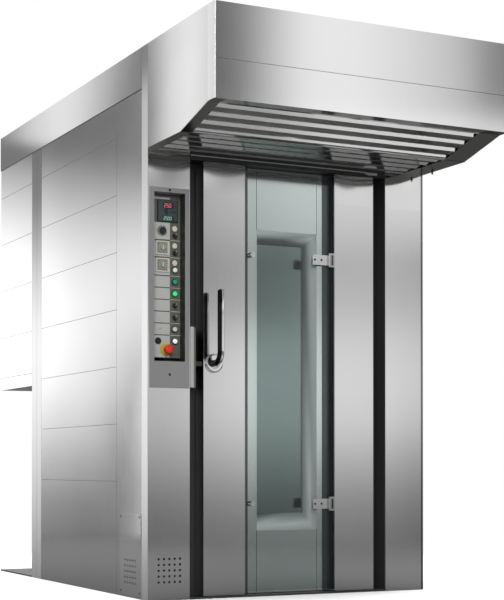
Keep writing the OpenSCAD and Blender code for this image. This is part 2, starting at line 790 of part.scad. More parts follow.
module insulation() color("khaki") place() {
    lining_back = chamber_y1 + lining_t;
    slab_x0 = wall_t - lining_t;
    slab_x1 = cabinet_w - slab_x0;
    slab_top = ceiling_z + lining_t;
    half_slab = (skin_in + slab_x0) / 2;
    box_inner_y = cabinet_d - skin_t - box_wool_t;
    block([wall_t, front_wall_d, base_t], [chamber_x1, chamber_y1, base_t + floor_board_t]);
    mirrored_x() {
        block([skin_in, column_y, rail_h], [slab_x0, main_d - skin_t, slab_top - sheet_gap]);
        block([half_slab, front_wall_d, rail_h], [slab_x0, column_y - sheet_gap, slab_top - sheet_gap]);
        block([skin_in, main_d + sheet_gap, box_inner_z + sheet_gap],
            [skin_in + box_wool_t, box_inner_y - sheet_gap, deck_z]);
    }
    block([wall_t, wall_y, floor_z], [way_x0 - frame_t, front_wall_d - lining_t, way_z1]);
    block([way_x1 + frame_t, wall_y, floor_z], [chamber_x1, front_wall_d - lining_t, way_z1]);
    block([wall_t, wall_y, way_z1 + frame_t], [chamber_x1, front_wall_d - lining_t, slab_top - sheet_gap]);
    difference() {
        block([slab_x0 + sheet_gap, lining_back, rail_h],
            [slab_x1 - sheet_gap, main_d - skin_t, port_z0]);
        inlet_hole(lining_back - past, main_d);
    }
    block([wall_t + duct_w, lining_back, port_z0 + sheet_gap],
        [chamber_x1 - duct_w, main_d - skin_t, port_z1 - sheet_gap]);
    block([slab_x0 + sheet_gap, lining_back, port_z1],
        [slab_x1 - sheet_gap, main_d - skin_t, slab_top - sheet_gap]);
    difference() {
        block([skin_in, skin_t, slab_top], [cabinet_w - skin_in, main_d, deck_z]);
        rod_z(mid_x, rack_y, slab_top - past, deck_z + past, rack_hole_r);
    }
    difference() {
        block([skin_in, main_d, box_z + box_floor_t],
            [cabinet_w - skin_in, cabinet_d - skin_t, box_inner_z]);
        rod_z(drum_x, box_y, box_z, box_inner_z + past, burner_flange_r);
    }
    block([skin_in, box_inner_y, box_inner_z + sheet_gap],
        [cabinet_w - skin_in, cabinet_d - skin_t, deck_z]);
}

// Skins that stand on each other from z0 up to z1, at the seam heights that the whole side shares
module panel_stack(y0, y1, z0, z1) {
    seams = [for (z = [first_panel_h : panel_pitch : z1 - skin_seam]) if (z > z0 + skin_seam) z];
    edges = concat([z0], seams, [z1]);
    for (i = [0 : len(edges) - 2])
        block([skin_inset, y0, edges[i] + (i > 0 ? skin_seam / 2 : 0)],
            [skin_in, y1, edges[i + 1] - (i < len(edges) - 2 ? skin_seam / 2 : 0)]);
}

module side_stack() {
    panel_stack(column_y + skin_seam, post_y - skin_seam, 0, fascia_z);
    panel_stack(main_d + skin_seam, cabinet_d, box_z + box_band_h, fascia_z);
    block([skin_inset, main_d + skin_seam, box_z], [skin_in, cabinet_d, box_z + box_band_h - skin_seam]);
}

module column_skin() block([skin_inset, strip_w + skin_seam, 0], [skin_in, column_y, fascia_z]);

module left_side_panels() color("silver") place() {
    side_stack();
    difference() {
        column_skin();
        block([skin_inset - past, cover_y + cover_rim, cover_z + cover_rim],
            [skin_in + past, cover_y + cover_w - cover_rim, cover_z + cover_h - cover_rim]);
    }
}

module right_side_panels() color("silver") place() translate([cabinet_w, 0, 0]) mirror([1, 0, 0]) {
    side_stack();
    column_skin();
}

module corner_posts() color("whitesmoke") place() mirrored_x() {
    block([0, 0, 0], [skin_t, strip_w, cabinet_h]);
    for (i = [0, 1])
        block([skin_inset, post_y + i * post_strip_w, 0],
            [skin_in, post_y + (i + 1) * post_strip_w - (i == 0 ? skin_seam : 0), fascia_z]);
}

module fascia_bands() color("lightgray") place() {
    mirrored_x() {
        block([0, strip_w + skin_seam, fascia_z], [skin_inset, cabinet_d, cabinet_h]);
        block([0, strip_w + skin_seam, cabinet_h - skin_t], [fascia_flange, cabinet_d, cabinet_h]);
    }
    block([skin_inset + sheet_gap, cabinet_d - skin_t, fascia_z],
        [cabinet_w - skin_inset - sheet_gap, cabinet_d, cabinet_h - skin_t - sheet_gap]);
}

module roof_deck() color("darkgray") place() difference() {
    block([skin_in, skin_t, deck_z], [cabinet_w - skin_in, cabinet_d - skin_t, deck_top]);
    rod_z(mid_x, rack_y, deck_z - past, deck_top + past, rack_hole_r);
    rod_z(fan_centre_x, box_y, deck_z - past, deck_top + past, fan_shaft_r + deck_hole_play);
    rod_z(flue_x, box_y, deck_z - past, deck_top + past, flue_r - flue_wall);
}

module rear_panels() color("silver") place() {
    columns = 2;
    width = (cabinet_w - 2 * skin_in) / columns;
    difference() {
        block([skin_in, main_d - skin_t, 0], [cabinet_w - skin_in, main_d, box_z]);
        inlet_hole(main_d - skin_t - past, main_d + past);
    }
    for (i = [0 : columns - 1])
        block([skin_in + i * width + skin_seam / 2, cabinet_d - skin_t, box_z + box_floor_t],
            [skin_in + (i + 1) * width - skin_seam / 2, cabinet_d, fascia_z]);
}

// Floor of the rear box, with the flange that the burner bolts to from below
module rear_box_floor() color("darkgray") place() difference() {
    union() {
        block([skin_in, main_d, box_z], [cabinet_w - skin_in, cabinet_d, box_z + box_floor_t]);
        rod_z(drum_x, box_y, box_z - burner_flange_t, box_z + box_floor_t, burner_flange_r);
    }
    rod_z(drum_x, box_y, box_z - burner_flange_t - past, box_z + box_floor_t + past, burner_r);
    for (i = [0 : burner_bolts - 1])
        translate([drum_x, box_y, 0]) rotate([0, 0, (i + 0.5) * 360 / burner_bolts])
            rod_z(burner_bolt_circle_r, 0, box_z - burner_flange_t - past,
                box_z + box_floor_t + past, burner_bolt_r);
}

module front_left_panel() color("lightgray") place() {
    first = -(vent_count - 1) / 2 * front_vent_pitch;
    difference() {
        block([skin_t, 0, 0], [jamb_x0, skin_t, hood_z]);
        block([opening_x0 - bezel_t, -past, opening_z0 - bezel_t],
            [opening_x1 + bezel_t, skin_t + past, opening_z1 + bezel_t]);
        for (i = [0 : vent_count - 1], j = [0 : vent_count - 1])
            rod_y((opening_x0 + opening_x1) / 2 + first + i * front_vent_pitch,
                front_vent_z + first + j * front_vent_pitch, -past, skin_t + past, vent_r);
    }
}

module front_right_panel() color("lightgray") place()
    block([jamb_x1, 0, 0], [cabinet_w - skin_t, skin_t, hood_z]);

// Black sheets that line the channels beside the leaf, the doorway and the space over the leaf
module door_frame() color("black") place() {
    for (side = [0, 1]) {
        wall_x = side == 0 ? jamb_x0 : jamb_x1 - frame_t;
        face_x0 = side == 0 ? jamb_x0 : way_x1;
        face_x1 = side == 0 ? way_x0 : jamb_x1;
        reveal_x = side == 0 ? way_x0 - frame_t : way_x1;
        block([wall_x, skin_t, base_t], [wall_x + frame_t, frame_y - sheet_gap, header_z - sheet_gap]);
        block([face_x0, frame_y, base_t], [face_x1, wall_y, way_z1]);
        block([reveal_x, wall_y + sheet_gap, floor_z],
            [reveal_x + frame_t, front_wall_d - lining_t, way_z1]);
    }
    block([jamb_x0, frame_y, way_z1 + sheet_gap], [jamb_x1, wall_y, header_z + header_h]);
    block([way_x0, wall_y + sheet_gap, way_z1 + sheet_gap],
        [way_x1, front_wall_d - lining_t, way_z1 + frame_t]);
    difference() {
        block([jamb_x0, 0, header_z], [jamb_x1, frame_y - sheet_gap, hood_z]);
        block([jamb_x0 + frame_t, frame_t, header_z + frame_t],
            [jamb_x1 - frame_t, frame_y - sheet_gap + past, hood_z - frame_t]);
        rod_z(pivot_x, pivot_y, header_z - past, header_z + frame_t + past, pivot_r + pivot_play);
    }
    difference() {
        block([jamb_x0 + frame_t + sheet_gap, skin_t, base_t],
            [jamb_x1 - frame_t - sheet_gap, frame_y - sheet_gap, threshold_h]);
        rod_z(pivot_x, pivot_y, base_t + pivot_floor, threshold_h + past, pivot_r + pivot_play);
    }
}

// A stepped strip on the jamb: a front face, a web and a lip that ends just short of the bolt
module keeper_plate() color("gainsboro") place() {
    x0 = jamb_x0 + frame_t;
    x1 = x0 + keeper_face_w;
    lip_x = door_x - bolt_throw - keeper_gap;
    back_y = keeper_y + keeper_step;
    z1 = keeper_z + keeper_h;
    block([x0, keeper_y, keeper_z], [x1, keeper_y + keeper_t, z1]);
    block([x1 - keeper_t, keeper_y, keeper_z], [x1, back_y, z1]);
    block([x1 - keeper_t, back_y - keeper_t, keeper_z], [lip_x, back_y, z1]);
}

module side_vent_cover() color("gainsboro") place() {
    first_y = column_mid_y - cover_shift - (vent_count - 1) / 2 * side_vent_pitch;
    first_z = side_vent_z - (vent_count - 1) / 2 * front_vent_pitch;
    difference() {
        block([skin_inset - cover_t, cover_y, cover_z], [skin_inset, cover_y + cover_w, cover_z + cover_h]);
        for (i = [0 : vent_count - 1], j = [0 : vent_count - 1])
            translate([skin_inset - cover_t - past, first_y + i * side_vent_pitch,
                first_z + j * front_vent_pitch])
                rotate([0, 90, 0]) cylinder(r = vent_r, h = cover_t + 2 * past);
    }
}

// Outline of a hood cheek, seen from the side
module cheek(t) rotate([90, 0, 90]) linear_extrude(t)
    polygon([[-hood_reach, hood_front_z], [hood_bend_y, hood_front_z], [-hood_flat_d, hood_z],
        [0, hood_z], [0, cabinet_h], [-hood_reach, cabinet_h]]);

module hood_shell() color("gainsboro") place() {
    mirrored_x() {
        cheek(skin_t);
        block([0, -hood_reach, hood_front_z], [hood_strip_w, -hood_reach + skin_t, cabinet_h]);
    }
    block([skin_t + sheet_gap, 0, hood_z], [cabinet_w - skin_t - sheet_gap, skin_t, cabinet_h]);
    difference() {
        block([skin_t + sheet_gap, -hood_reach + skin_t + sheet_gap, hood_top_z - skin_t],
            [cabinet_w - skin_t - sheet_gap, -sheet_gap, hood_top_z]);
        rod_z(mid_x, -hood_collar_y, hood_top_z - skin_t - past, hood_top_z + past, flue_r - flue_wall);
    }
}

module hood_front_panels() color("gainsboro") place() {
    split_z = hood_front_z + hood_lower_h;
    x0 = hood_strip_w + skin_seam / 2;
    x1 = cabinet_w - x0;
    block([x0, -hood_reach, hood_front_z], [x1, -hood_reach + skin_t, split_z - skin_seam / 2]);
    block([x0, -hood_reach, split_z + skin_seam / 2], [x1, -hood_reach + skin_t, cabinet_h]);
}

// A louvre in its own plane, from its front edge backwards: two end plates, two edge bars and troughs.
// Each trough is turned about its rear edge, and its ends meet an upright at each end plate.
// lead and trail are the distances of the first and last trough from the ends
module louvre(length, slat_w, tilt, lead, trail) {
    x0 = skin_t + sheet_gap;
    x1 = cabinet_w - x0;
    slat_d = slat_w * cos(tilt);
    step = (length - lead - trail - slat_d) / (slat_count - 1);
    slat_l = x1 - x0 - (grille_end_w + grille_far_w) / 2;
    slat_z = grille_t + sheet_gap;
    for (x = [x0 + grille_end_w / 2 - grille_t, x1 - grille_far_w / 2])
        block([x, grille_edge_w, 0],
            [x + grille_t, length - sheet_gap, slat_z + slat_lip + slat_w * sin(tilt)]);
    block([x0, 0, 0], [x0 + grille_end_w, length, grille_t]);
    block([x1 - grille_far_w, 0, 0], [x1, length, grille_t]);
    for (y = [0, length - grille_edge_w])
        block([x0, y, 0], [x1, y + grille_edge_w, grille_t]);
    for (i = [0 : slat_count - 1])
        translate([x0 + grille_end_w / 2, lead + slat_d + i * step, slat_z])
            rotate([-tilt, 0, 0]) difference() {
                translate([0, -slat_w, 0]) cube([slat_l, slat_w, slat_lip]);
                translate([-past, grille_t - slat_w, grille_t])
                    cube([slat_l + 2 * past, slat_w - 2 * grille_t, slat_lip]);
            }
}

module slant_grille() color("dimgray") place() {
    inset = skin_t + sheet_gap;
    translate([0, hood_bend_y, hood_front_z]) rotate([-hood_slope, 0, 0])
        louvre(hood_slope_len - 2 * inset, slant_slat_w, slant_slat_tilt, slant_lead, slant_trail);
    block([inset, -hood_reach + inset, hood_front_z],
        [cabinet_w - inset, hood_bend_y - sheet_gap, hood_front_z + grille_t]);
}

module flat_grille() color("dimgray") place() translate([0, -hood_flat_d, hood_z])
    louvre(hood_flat_d - sheet_gap, flat_slat_w, flat_slat_tilt, flat_margin, flat_margin);

module flue_collars() color("silver") place() {
    for (foot = [[flue_x, box_y, deck_top], [mid_x, -hood_collar_y, hood_top_z]])
        translate(foot) difference() {
            union() {
                cylinder(r = flue_flange_r, h = flue_flange_t);
                cylinder(r = flue_r, h = flue_flange_t + flue_len);
            }
            translate([0, 0, -past])
                cylinder(r = flue_r - flue_wall, h = flue_flange_t + flue_len + 2 * past);
        }
}

// Combustion drum, smoke tubes between two manifolds, and the pipe up to the flue
module heat_exchanger() color("sienna") place() {
    left_x = flue_x - flue_r - drum_wall;
    tubes_x = drum_x - drum_r - smoke_pitch * smoke_columns;
    y0 = box_y - manifold_d / 2;
    y1 = box_y + manifold_d / 2;
    difference() {
        union() {
            rod_z(drum_x, box_y, drum_z, manifold_z, drum_r);
            block([tubes_x - smoke_pitch / 2, y0, manifold_z],
                [drum_x + drum_r, y1, manifold_z + manifold_h]);
            block([left_x, y0, drum_z], [drum_x - drum_r, y1, drum_z + manifold_h]);
            rod_z(flue_x, box_y, drum_z + manifold_h, deck_z, flue_r);
            for (i = [0 : smoke_columns - 1], j = [0 : smoke_rows - 1])
                rod_z(tubes_x + i * smoke_pitch, box_y + (j - (smoke_rows - 1) / 2) * smoke_pitch,
                    drum_z + manifold_h, manifold_z, smoke_r);
        }
        rod_z(drum_x, box_y, drum_z + drum_wall, manifold_z - drum_wall, drum_r - drum_wall);
        rod_z(drum_x, box_y, drum_z - past, drum_z + drum_wall + past, burner_r + drum_mouth_play);
        rod_z(flue_x, box_y, drum_z + manifold_h - drum_wall - past, deck_z + past, flue_r - drum_wall);
        rod_z(drum_x, box_y, manifold_z - drum_wall - past, manifold_z + drum_wall + past, burner_r);
        for (i = [0 : smoke_columns - 1], j = [0 : smoke_rows - 1])
            rod_z(tubes_x + i * smoke_pitch, box_y + (j - (smoke_rows - 1) / 2) * smoke_pitch,
                drum_z + manifold_h - drum_wall - past, manifold_z + drum_wall + past, smoke_r - drum_wall);
        block([tubes_x - smoke_pitch / 2 + drum_wall, y0 + drum_wall, manifold_z + drum_wall],
            [drum_x + drum_r - drum_wall, y1 - drum_wall, manifold_z + manifold_h - drum_wall]);
        block([left_x + drum_wall, y0 + drum_wall, drum_z + drum_wall],
            [drum_x - drum_r - drum_wall, y1 - drum_wall, drum_z + manifold_h - drum_wall]);
    }
}

module fan_motor() color("steelblue") place() translate([fan_centre_x, box_y, deck_top]) {
    terminal = [90, 60, 100];
    difference() {
        union() {
            translate([-fan_base / 2, -fan_base / 2, 0]) cube([fan_base, fan_base, fan_base_t]);
            translate([0, 0, fan_base_t]) cylinder(r = fan_motor_r, h = fan_motor_h);
            translate([-terminal[0] / 2, -fan_motor_r - terminal[1] / 2, fan_base_t + fan_motor_h / 4])
                cube(terminal);
        }
        translate([0, 0, -past])
            cylinder(r = fan_shaft_r + fan_shaft_play, h = fan_base_t + fan_socket + fan_end_gap + past);
    }
}

module gearmotor() color("steelblue") place() translate([mid_x, rack_y, deck_top + bearing_t]) {
    half = gearbox_side / 2;
    terminal = [100, 90, 40];
    difference() {
        union() {
            translate([-half, -half, 0]) cube([gearbox_side, gearbox_side, gearbox_h]);
            translate([half, 0, gearbox_h / 2]) rotate([0, 90, 0]) cylinder(r = motor_r, h = motor_len);
            translate([half + motor_len / 2 - terminal[0] / 2, -terminal[1] / 2, gearbox_h / 2])
                cube([terminal[0], terminal[1], motor_r + terminal[2]]);
        }
        translate([0, 0, -past]) cylinder(r = rack_shaft_r + rack_shaft_play, h = gearbox_h + 2 * past);
    }
}

module shaft_bearing() color("gray") place() difference() {
    rod_z(mid_x, rack_y, deck_top, deck_top + bearing_t, bearing_r);
    rod_z(mid_x, rack_y, deck_top - past, deck_top + bearing_t + past, rack_shaft_r + rack_shaft_play);
}

module control_bezel() color("dimgray") place() difference() {
    union() {
        block([bezel_x0, -bezel_t, bezel_z], [bezel_x0 + bezel_w, 0, bezel_z + bezel_h]);
        block([opening_x0 - bezel_t, -bezel_t, opening_z0 - bezel_t],
            [opening_x1 + bezel_t, recess + plate_t, opening_z1 + bezel_t]);
    }
    block([opening_x0, -bezel_t - past, opening_z0], [opening_x1, recess + plate_t + past, opening_z1]);
}

module button_hole(x, z, r) rod_y(x, z, recess - collar_t - past, recess + plate_t + past, r + button_play);

module shaft_hole(x, z) rod_y(x, z, recess - timer_t - past, recess + plate_t + past, shaft_r + shaft_play);

function row_z(i) = switch_z - 2 * group_pitch - i * row_pitch;

// Rows of the five push buttons and of the lower two selectors
button_rows = [0, 1, 2, 5, 6];
selector_rows = [3, 4];

module control_plate() color("darkslategray") place() difference() {
    union() {
        block([opening_x0, recess, opening_z0 + plate_slot], [opening_x1, recess + plate_t, opening_z1]);
        for (i = button_rows)
            rod_y(right_row_x, row_z(i), recess - collar_t, recess, button_r + button_play + collar_w);
        rod_y(opening_x0 + stop_edge, stop_z, recess - collar_t, recess, stop_collar_r);
        rod_y(opening_x0 + buzzer_edge, row_z(6), recess - lamp_t, recess, buzzer_r);
        for (i = [1, 2])
            translate([left_row_x - timer_side / 2, recess - timer_t,
                switch_z - i * group_pitch + dial_rise - timer_side / 2])
                cube([timer_side, timer_t, timer_side]);
    }
    for (i = button_rows) button_hole(right_row_x, row_z(i), button_r);
    button_hole(opening_x0 + stop_edge, stop_z, stop_neck_r);
    for (i = [0, 1]) shaft_hole(right_row_x, switch_z - i * group_pitch);
    for (i = selector_rows) shaft_hole(right_row_x, row_z(i));
    for (i = [0, 1, 2]) shaft_hole(left_row_x, switch_z - i * group_pitch + dial_rise);
}

module temperature_controller() color("black") place()
    translate([thermostat_x - thermostat_side / 2, recess - thermostat_t, thermostat_z - thermostat_side / 2])
        cube([thermostat_side, thermostat_t, thermostat_side]);

module indicator_lamps() color("white") place()
    for (i = [0 : 2])
        rod_y(right_row_x, switch_z - i * group_pitch + lamp_rise, recess - lamp_t, recess, lamp_r);

// Heads of the screws in the bezel and in the side vent cover
module panel_screws() color("silver") place() {
    bezel_mid = bezel_x0 + bezel_w / 2;
    for (z = [bezel_z + bezel_foot / 2, bezel_z + bezel_h - bezel_top / 2])
        rod_y(bezel_mid, z, -bezel_t - screw_t, -bezel_t, screw_r);
    for (y = [cover_y + screw_edge, cover_y + cover_w - screw_edge],
        z = [cover_z + screw_edge, cover_z + cover_h - screw_edge])
        translate([skin_inset - cover_t - screw_t, y, z]) rotate([0, 90, 0])
            cylinder(r = screw_r, h = screw_t);
}

module door_stiles() color("silver") place() {
    difference() {
        sheet_box([door_x, 0, door_z], [core_x0, door_t, door_z1], door_sheet_t);
        rod_y(handle_x, handle_z, -past, door_sheet_t + past, spindle_r + handle_play);
        block([door_x - past, bolt_y - bolt_play, handle_z - bolt_h / 2 - bolt_play],
            [door_x + door_sheet_t + past, bolt_y + bolt_t + bolt_play, handle_z + bolt_h / 2 + bolt_play]);
    }
    sheet_box([core_x1, 0, door_z], [door_x1, door_t, door_z1], door_sheet_t);
}

// Four boxes round the window behind the outer glass, and four on the back that form the plug
module door_core() color("darkgray") place() {
    plug_x0 = way_x0 + plug_clearance;
    plug_x1 = way_x1 - plug_clearance;
    plug_z0 = floor_z + plug_lift;
    plug_z1 = way_z1 - plug_clearance / 2;
    for (ring = [[core_x0, core_x1, door_z, door_z1, core_y, door_t],
        [plug_x0, plug_x1, plug_z0, plug_z1, door_t + sheet_gap, leaf_back]]) {
        y0 = ring[4];
        y1 = ring[5];
        sheet_box([ring[0], y0, ring[2]], [window_x, y1, ring[3]], door_sheet_t);
        sheet_box([window_x1, y0, ring[2]], [ring[1], y1, ring[3]], door_sheet_t);
        sheet_box([window_x + sheet_gap, y0, ring[2]], [window_x1 - sheet_gap, y1, window_z], door_sheet_t);
        sheet_box([window_x + sheet_gap, y0, window_z1], [window_x1 - sheet_gap, y1, ring[3]], door_sheet_t);
    }
}

module door_glass() color([0.6, 0.75, 0.72, 0.5]) place()
    block([window_x, leaf_back - window_glass_inset - window_glass_t, window_z],
        [window_x1, leaf_back - window_glass_inset, window_z1]);

module door_seal() color("black") place() {
    mid = (rebate - seal_w) / 2;
    z1 = door_z1 - mid;
    for (x = [door_x + mid, door_x1 - mid - seal_w])
        block([x, door_t, door_z], [x + seal_w, door_t + seal_t, z1 - seal_w - sheet_gap]);
    block([door_x + mid, door_t, z1 - seal_w], [door_x1 - mid, door_t + seal_t, z1]);
}

module door_pivots() color("silver") place() {
    rod_z(pivot_x, pivot_y, door_z1, header_z + pivot_reach, pivot_r);
    rod_z(pivot_x, pivot_y, base_t + pivot_floor + pivot_foot_gap, door_z, pivot_r);
}

// On the hinge stile: two ears above and below each knuckle, and the pin through them
module glass_hinge_brackets() color("silver") place() {
    ear_r = knuckle_r - ear_inset;
    half = hinge_plate_h / 2 + sheet_gap;
    for (z = [glass_hinge_low_z, glass_hinge_high_z]) {
        for (ear_z = [z - half - ear_h, z + half]) {
            rod_z(hinge_x, hinge_y, ear_z, ear_z + ear_h, ear_r);
            block([hinge_x, hinge_y - ear_r, ear_z], [core_x1, hinge_y + ear_r, ear_z + ear_h]);
        }
        rod_z(hinge_x, hinge_y, z - half - ear_h, z + half + ear_h, hinge_pin_r);
    }
}

module handle_rosette() color("gainsboro") place() difference() {
    rod_y(handle_x, handle_z, -rosette_t, 0, rosette_r);
    rod_y(handle_x, handle_z, -rosette_t - past, past, handle_r + handle_play);
}

module outer_glass() color([0.7, 0.85, 0.8, 0.4]) place() difference() {
    block([glass_x, glass_recess, glass_z], [glass_x1, glass_recess + glass_t, glass_z + glass_h]);
    for (z = [knob_low_z, knob_high_z])
        rod_y(knob_x, z, glass_recess - past, glass_recess + glass_t + past, glass_spindle_r + handle_play);
}

module glass_hinge_plates() color("silver") place()
    for (z = [glass_hinge_low_z, glass_hinge_high_z])
        difference() {
            union() {
                rod_z(hinge_x, hinge_y, z - hinge_plate_h / 2, z + hinge_plate_h / 2, knuckle_r);
                block([glass_x1 - hinge_plate_w, glass_recess - hinge_plate_t, z - hinge_plate_h / 2],
                    [hinge_x, glass_recess, z + hinge_plate_h / 2]);
            }
            rod_z(hinge_x, hinge_y, z - hinge_plate_h / 2 - past, z + hinge_plate_h / 2 + past,
                hinge_pin_r + hinge_pin_play);
        }

module glass_knob(z) color("silver") place() {
    rod_y(knob_x, z, glass_recess - glass_knob_len, glass_recess - handle_play, glass_knob_r);
    rod_y(knob_x, z, glass_recess - glass_knob_len, glass_recess + glass_t, glass_spindle_r);
}

module glass_knob_upper() glass_knob(knob_high_z);

module glass_knob_lower() glass_knob(knob_low_z);

// A lever that comes out of the rosette, bends upwards and ends in a flat
module handle_lever() color("gainsboro") place() translate([handle_x, 0, handle_z]) {
    bend_y = handle_bend_r - handle_standoff;
    rod_y(0, 0, bend_y, -handle_play, handle_r);
    translate([0, bend_y, handle_bend_r]) rotate([90, 0, -90])
        rotate_extrude(angle = 90, start = -90) translate([handle_bend_r, 0]) circle(r = handle_r);
    translate([0, -handle_standoff, handle_bend_r]) cylinder(r = handle_r, h = handle_len - handle_bend_r);
    rod_y(0, 0, -handle_play - past, bolt_y - 2 * bolt_play, spindle_r);
    rod_y(0, 0, bolt_y - 2 * bolt_play - crank_t, bolt_y - 2 * bolt_play, crank_r);
}

module latch_bolt() color("silver") place()
    block([door_x - bolt_throw, bolt_y, handle_z - bolt_h / 2],
        [door_x - bolt_throw + bolt_len, bolt_y + bolt_t, handle_z + bolt_h / 2]);

// The shaft through the ceiling, a disc and two rails with lips, between which the trolley's head slides in
module rack_hanger() color("slategray") place() translate([mid_x, rack_y, 0]) {
    disc_z = ceiling_z - disc_drop - disc_t;
    shaft_top = deck_top + bearing_t + gearbox_h;
    rod_z(0, 0, disc_z, shaft_top, rack_shaft_r);
    rod_z(0, 0, disc_z, disc_z + disc_t, disc_r);
    for (side = [-1, 1]) {
        x_in = side * rail_gap / 2;
        x_out = side * (rail_gap / 2 + hook_t);
        x_lip = side * (rail_gap / 2 - hook_lip);
        block([min(x_in, x_out), -rail_len / 2, disc_z - hook_h], [max(x_in, x_out), rail_len / 2, disc_z]);
        block([min(x_lip, x_out), -rail_len / 2, disc_z - hook_h],
            [max(x_lip, x_out), rail_len / 2, disc_z - hook_h + hook_t]);
    }
}

module fan_impeller() color("silver") place() translate([fan_centre_x, box_y, 0]) {
    hub_r = fan_shaft_r * 2;
    rod_z(0, 0, fan_z + fan_h - blade_t, fan_z + fan_h, fan_r);
    difference() {
        rod_z(0, 0, fan_z, fan_z + blade_t, fan_r);
        rod_z(0, 0, fan_z - past, fan_z + blade_t + past, fan_inlet_r);
    }
    rod_z(0, 0, fan_z + fan_h / 2, fan_z + fan_h, hub_r);
    rod_z(0, 0, fan_z + fan_h / 2, deck_top + fan_base_t + fan_socket, fan_shaft_r);
    for (i = [0 : blade_count - 1])
        rotate([0, 0, i * 360 / blade_count])
            translate([fan_inlet_r, 0, fan_z]) rotate([0, 0, blade_angle])
                translate([0, -blade_t / 2, 0]) cube([blade_w, blade_t, fan_h]);
}

module turned_knob(x, z, base_y, r, t) {
    rod_y(x, z, base_y - knob_gap - t, base_y - knob_gap, r);
    rod_y(x, z, base_y - knob_gap - t, recess + plate_t + shaft_end, shaft_r);
}

module main_knob() color("black") place() {
    z = switch_z + dial_rise;
    turned_knob(left_row_x, z, recess, main_knob_r, main_skirt_t);
    rod_y(left_row_x, z, recess - knob_gap - main_skirt_t - main_cap_t, recess - knob_gap, main_cap_r);
}

module timer_dial(i) color("dimgray") place()
    turned_knob(left_row_x, switch_z - i * group_pitch + dial_rise, recess - timer_t,
        timer_dial_r, timer_dial_t);

module timer_dial_upper() timer_dial(1);

module timer_dial_lower() timer_dial(2);

module selector(z) color("black") place() {
    face_y = recess - knob_gap - selector_t;
    turned_knob(right_row_x, z, recess, selector_r, selector_t);
    reach = selector_r - grip_inset;
    block([right_row_x - grip_w / 2, face_y - grip_t, z - reach],
        [right_row_x + grip_w / 2, face_y + selector_t / 2, z + reach]);
}

module selector_1() selector(switch_z);

module selector_2() selector(switch_z - group_pitch);

module selector_3() selector(row_z(selector_rows[0]));

module selector_4() selector(row_z(selector_rows[1]));

module push_button(i) place()
    rod_y(right_row_x, row_z(button_rows[i]), recess - button_proud, recess + plate_t + button_travel,
        button_r);

module button_1() color("whitesmoke") push_button(0);

module button_2() color("teal") push_button(1);

module button_3() color("lime") push_button(2);

module button_4() color("gainsboro") push_button(3);

module button_5() color("white") push_button(4);

module stop_button() color("red") place() {
    x = opening_x0 + stop_edge;
    rod_y(x, stop_z, recess - stop_proud, recess - stop_proud + stop_head_t, stop_head_r);
    rod_y(x, stop_z, recess - stop_proud, recess + plate_t + stop_travel, stop_neck_r);
}

base_frame();
chamber_floor();
chamber_lining();
air_ducts();
steam_generator();
insulation();
left_side_panels();
right_side_panels();
corner_posts();
fascia_bands();
roof_deck();
rear_panels();
rear_box_floor();
front_left_panel();
front_right_panel();
door_frame();
keeper_plate();
side_vent_cover();
hood_shell();
hood_front_panels();
slant_grille();
flat_grille();
flue_collars();
heat_exchanger();
fan_motor();
gearmotor();
shaft_bearing();
control_bezel();
control_plate();
temperature_controller();
indicator_lamps();
panel_screws();
door_stiles();
door_core();
door_glass();
door_seal();
door_pivots();
glass_hinge_brackets();
handle_rosette();
outer_glass();
glass_hinge_plates();
glass_knob_upper();
glass_knob_lower();
handle_lever();
latch_bolt();
rack_hanger();
fan_impeller();
main_knob();
timer_dial_upper();
timer_dial_lower();
selector_1();
selector_2();
selector_3();
selector_4();
button_1();
button_2();
button_3();
button_4();
button_5();
stop_button();
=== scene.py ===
# %% [markdown]
# # A rotating rack oven
#
# A rack oven is a room of sheet steel. A trolley of trays rolls in, hangs from a hook in the
# ceiling and turns in hot air. The measured model already has every sheet in its place, so this
# lesson loads it, lights it, gives each sheet its finish, and adds the small parts that only
# matter to the eye. The model is a frame: nothing in it is moved.

# %% Load the measured oven
import json
import math

import bmesh
import bpy
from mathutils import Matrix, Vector


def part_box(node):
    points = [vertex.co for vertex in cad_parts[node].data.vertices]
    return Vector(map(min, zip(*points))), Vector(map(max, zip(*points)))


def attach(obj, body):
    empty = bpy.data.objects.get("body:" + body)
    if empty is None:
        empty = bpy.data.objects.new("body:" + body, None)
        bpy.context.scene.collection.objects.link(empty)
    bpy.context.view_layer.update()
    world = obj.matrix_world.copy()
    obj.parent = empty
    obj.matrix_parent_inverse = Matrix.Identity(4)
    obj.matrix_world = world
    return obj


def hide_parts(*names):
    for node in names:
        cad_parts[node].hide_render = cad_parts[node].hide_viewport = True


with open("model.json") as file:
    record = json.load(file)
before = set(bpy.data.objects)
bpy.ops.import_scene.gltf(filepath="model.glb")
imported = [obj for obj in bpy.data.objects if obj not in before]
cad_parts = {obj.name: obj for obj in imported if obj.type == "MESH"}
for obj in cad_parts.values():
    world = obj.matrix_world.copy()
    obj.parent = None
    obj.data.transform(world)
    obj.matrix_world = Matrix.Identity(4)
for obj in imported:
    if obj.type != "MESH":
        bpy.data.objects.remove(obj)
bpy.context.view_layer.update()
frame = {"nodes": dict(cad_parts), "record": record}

# %% [markdown]
# A fitter measures an oven from its front left corner: so far to the right, so far back, so far
# up, in millimetres. The frame puts its origin in the middle of the floor. One function turns
# the fitter's numbers into the frame's, so every later number can be checked with a tape.

# %% From the fitter's millimetres to the frame's metres
MID_X, MID_Y = 700, 727.5


def at(x, y, z):
    """A point in the frame, from millimetres to the right, back and up."""
    return Vector(((x - MID_X) / 1000, (y - MID_Y) / 1000, z / 1000))


print("front left corner of the floor:", tuple(at(0, 0, 0)))

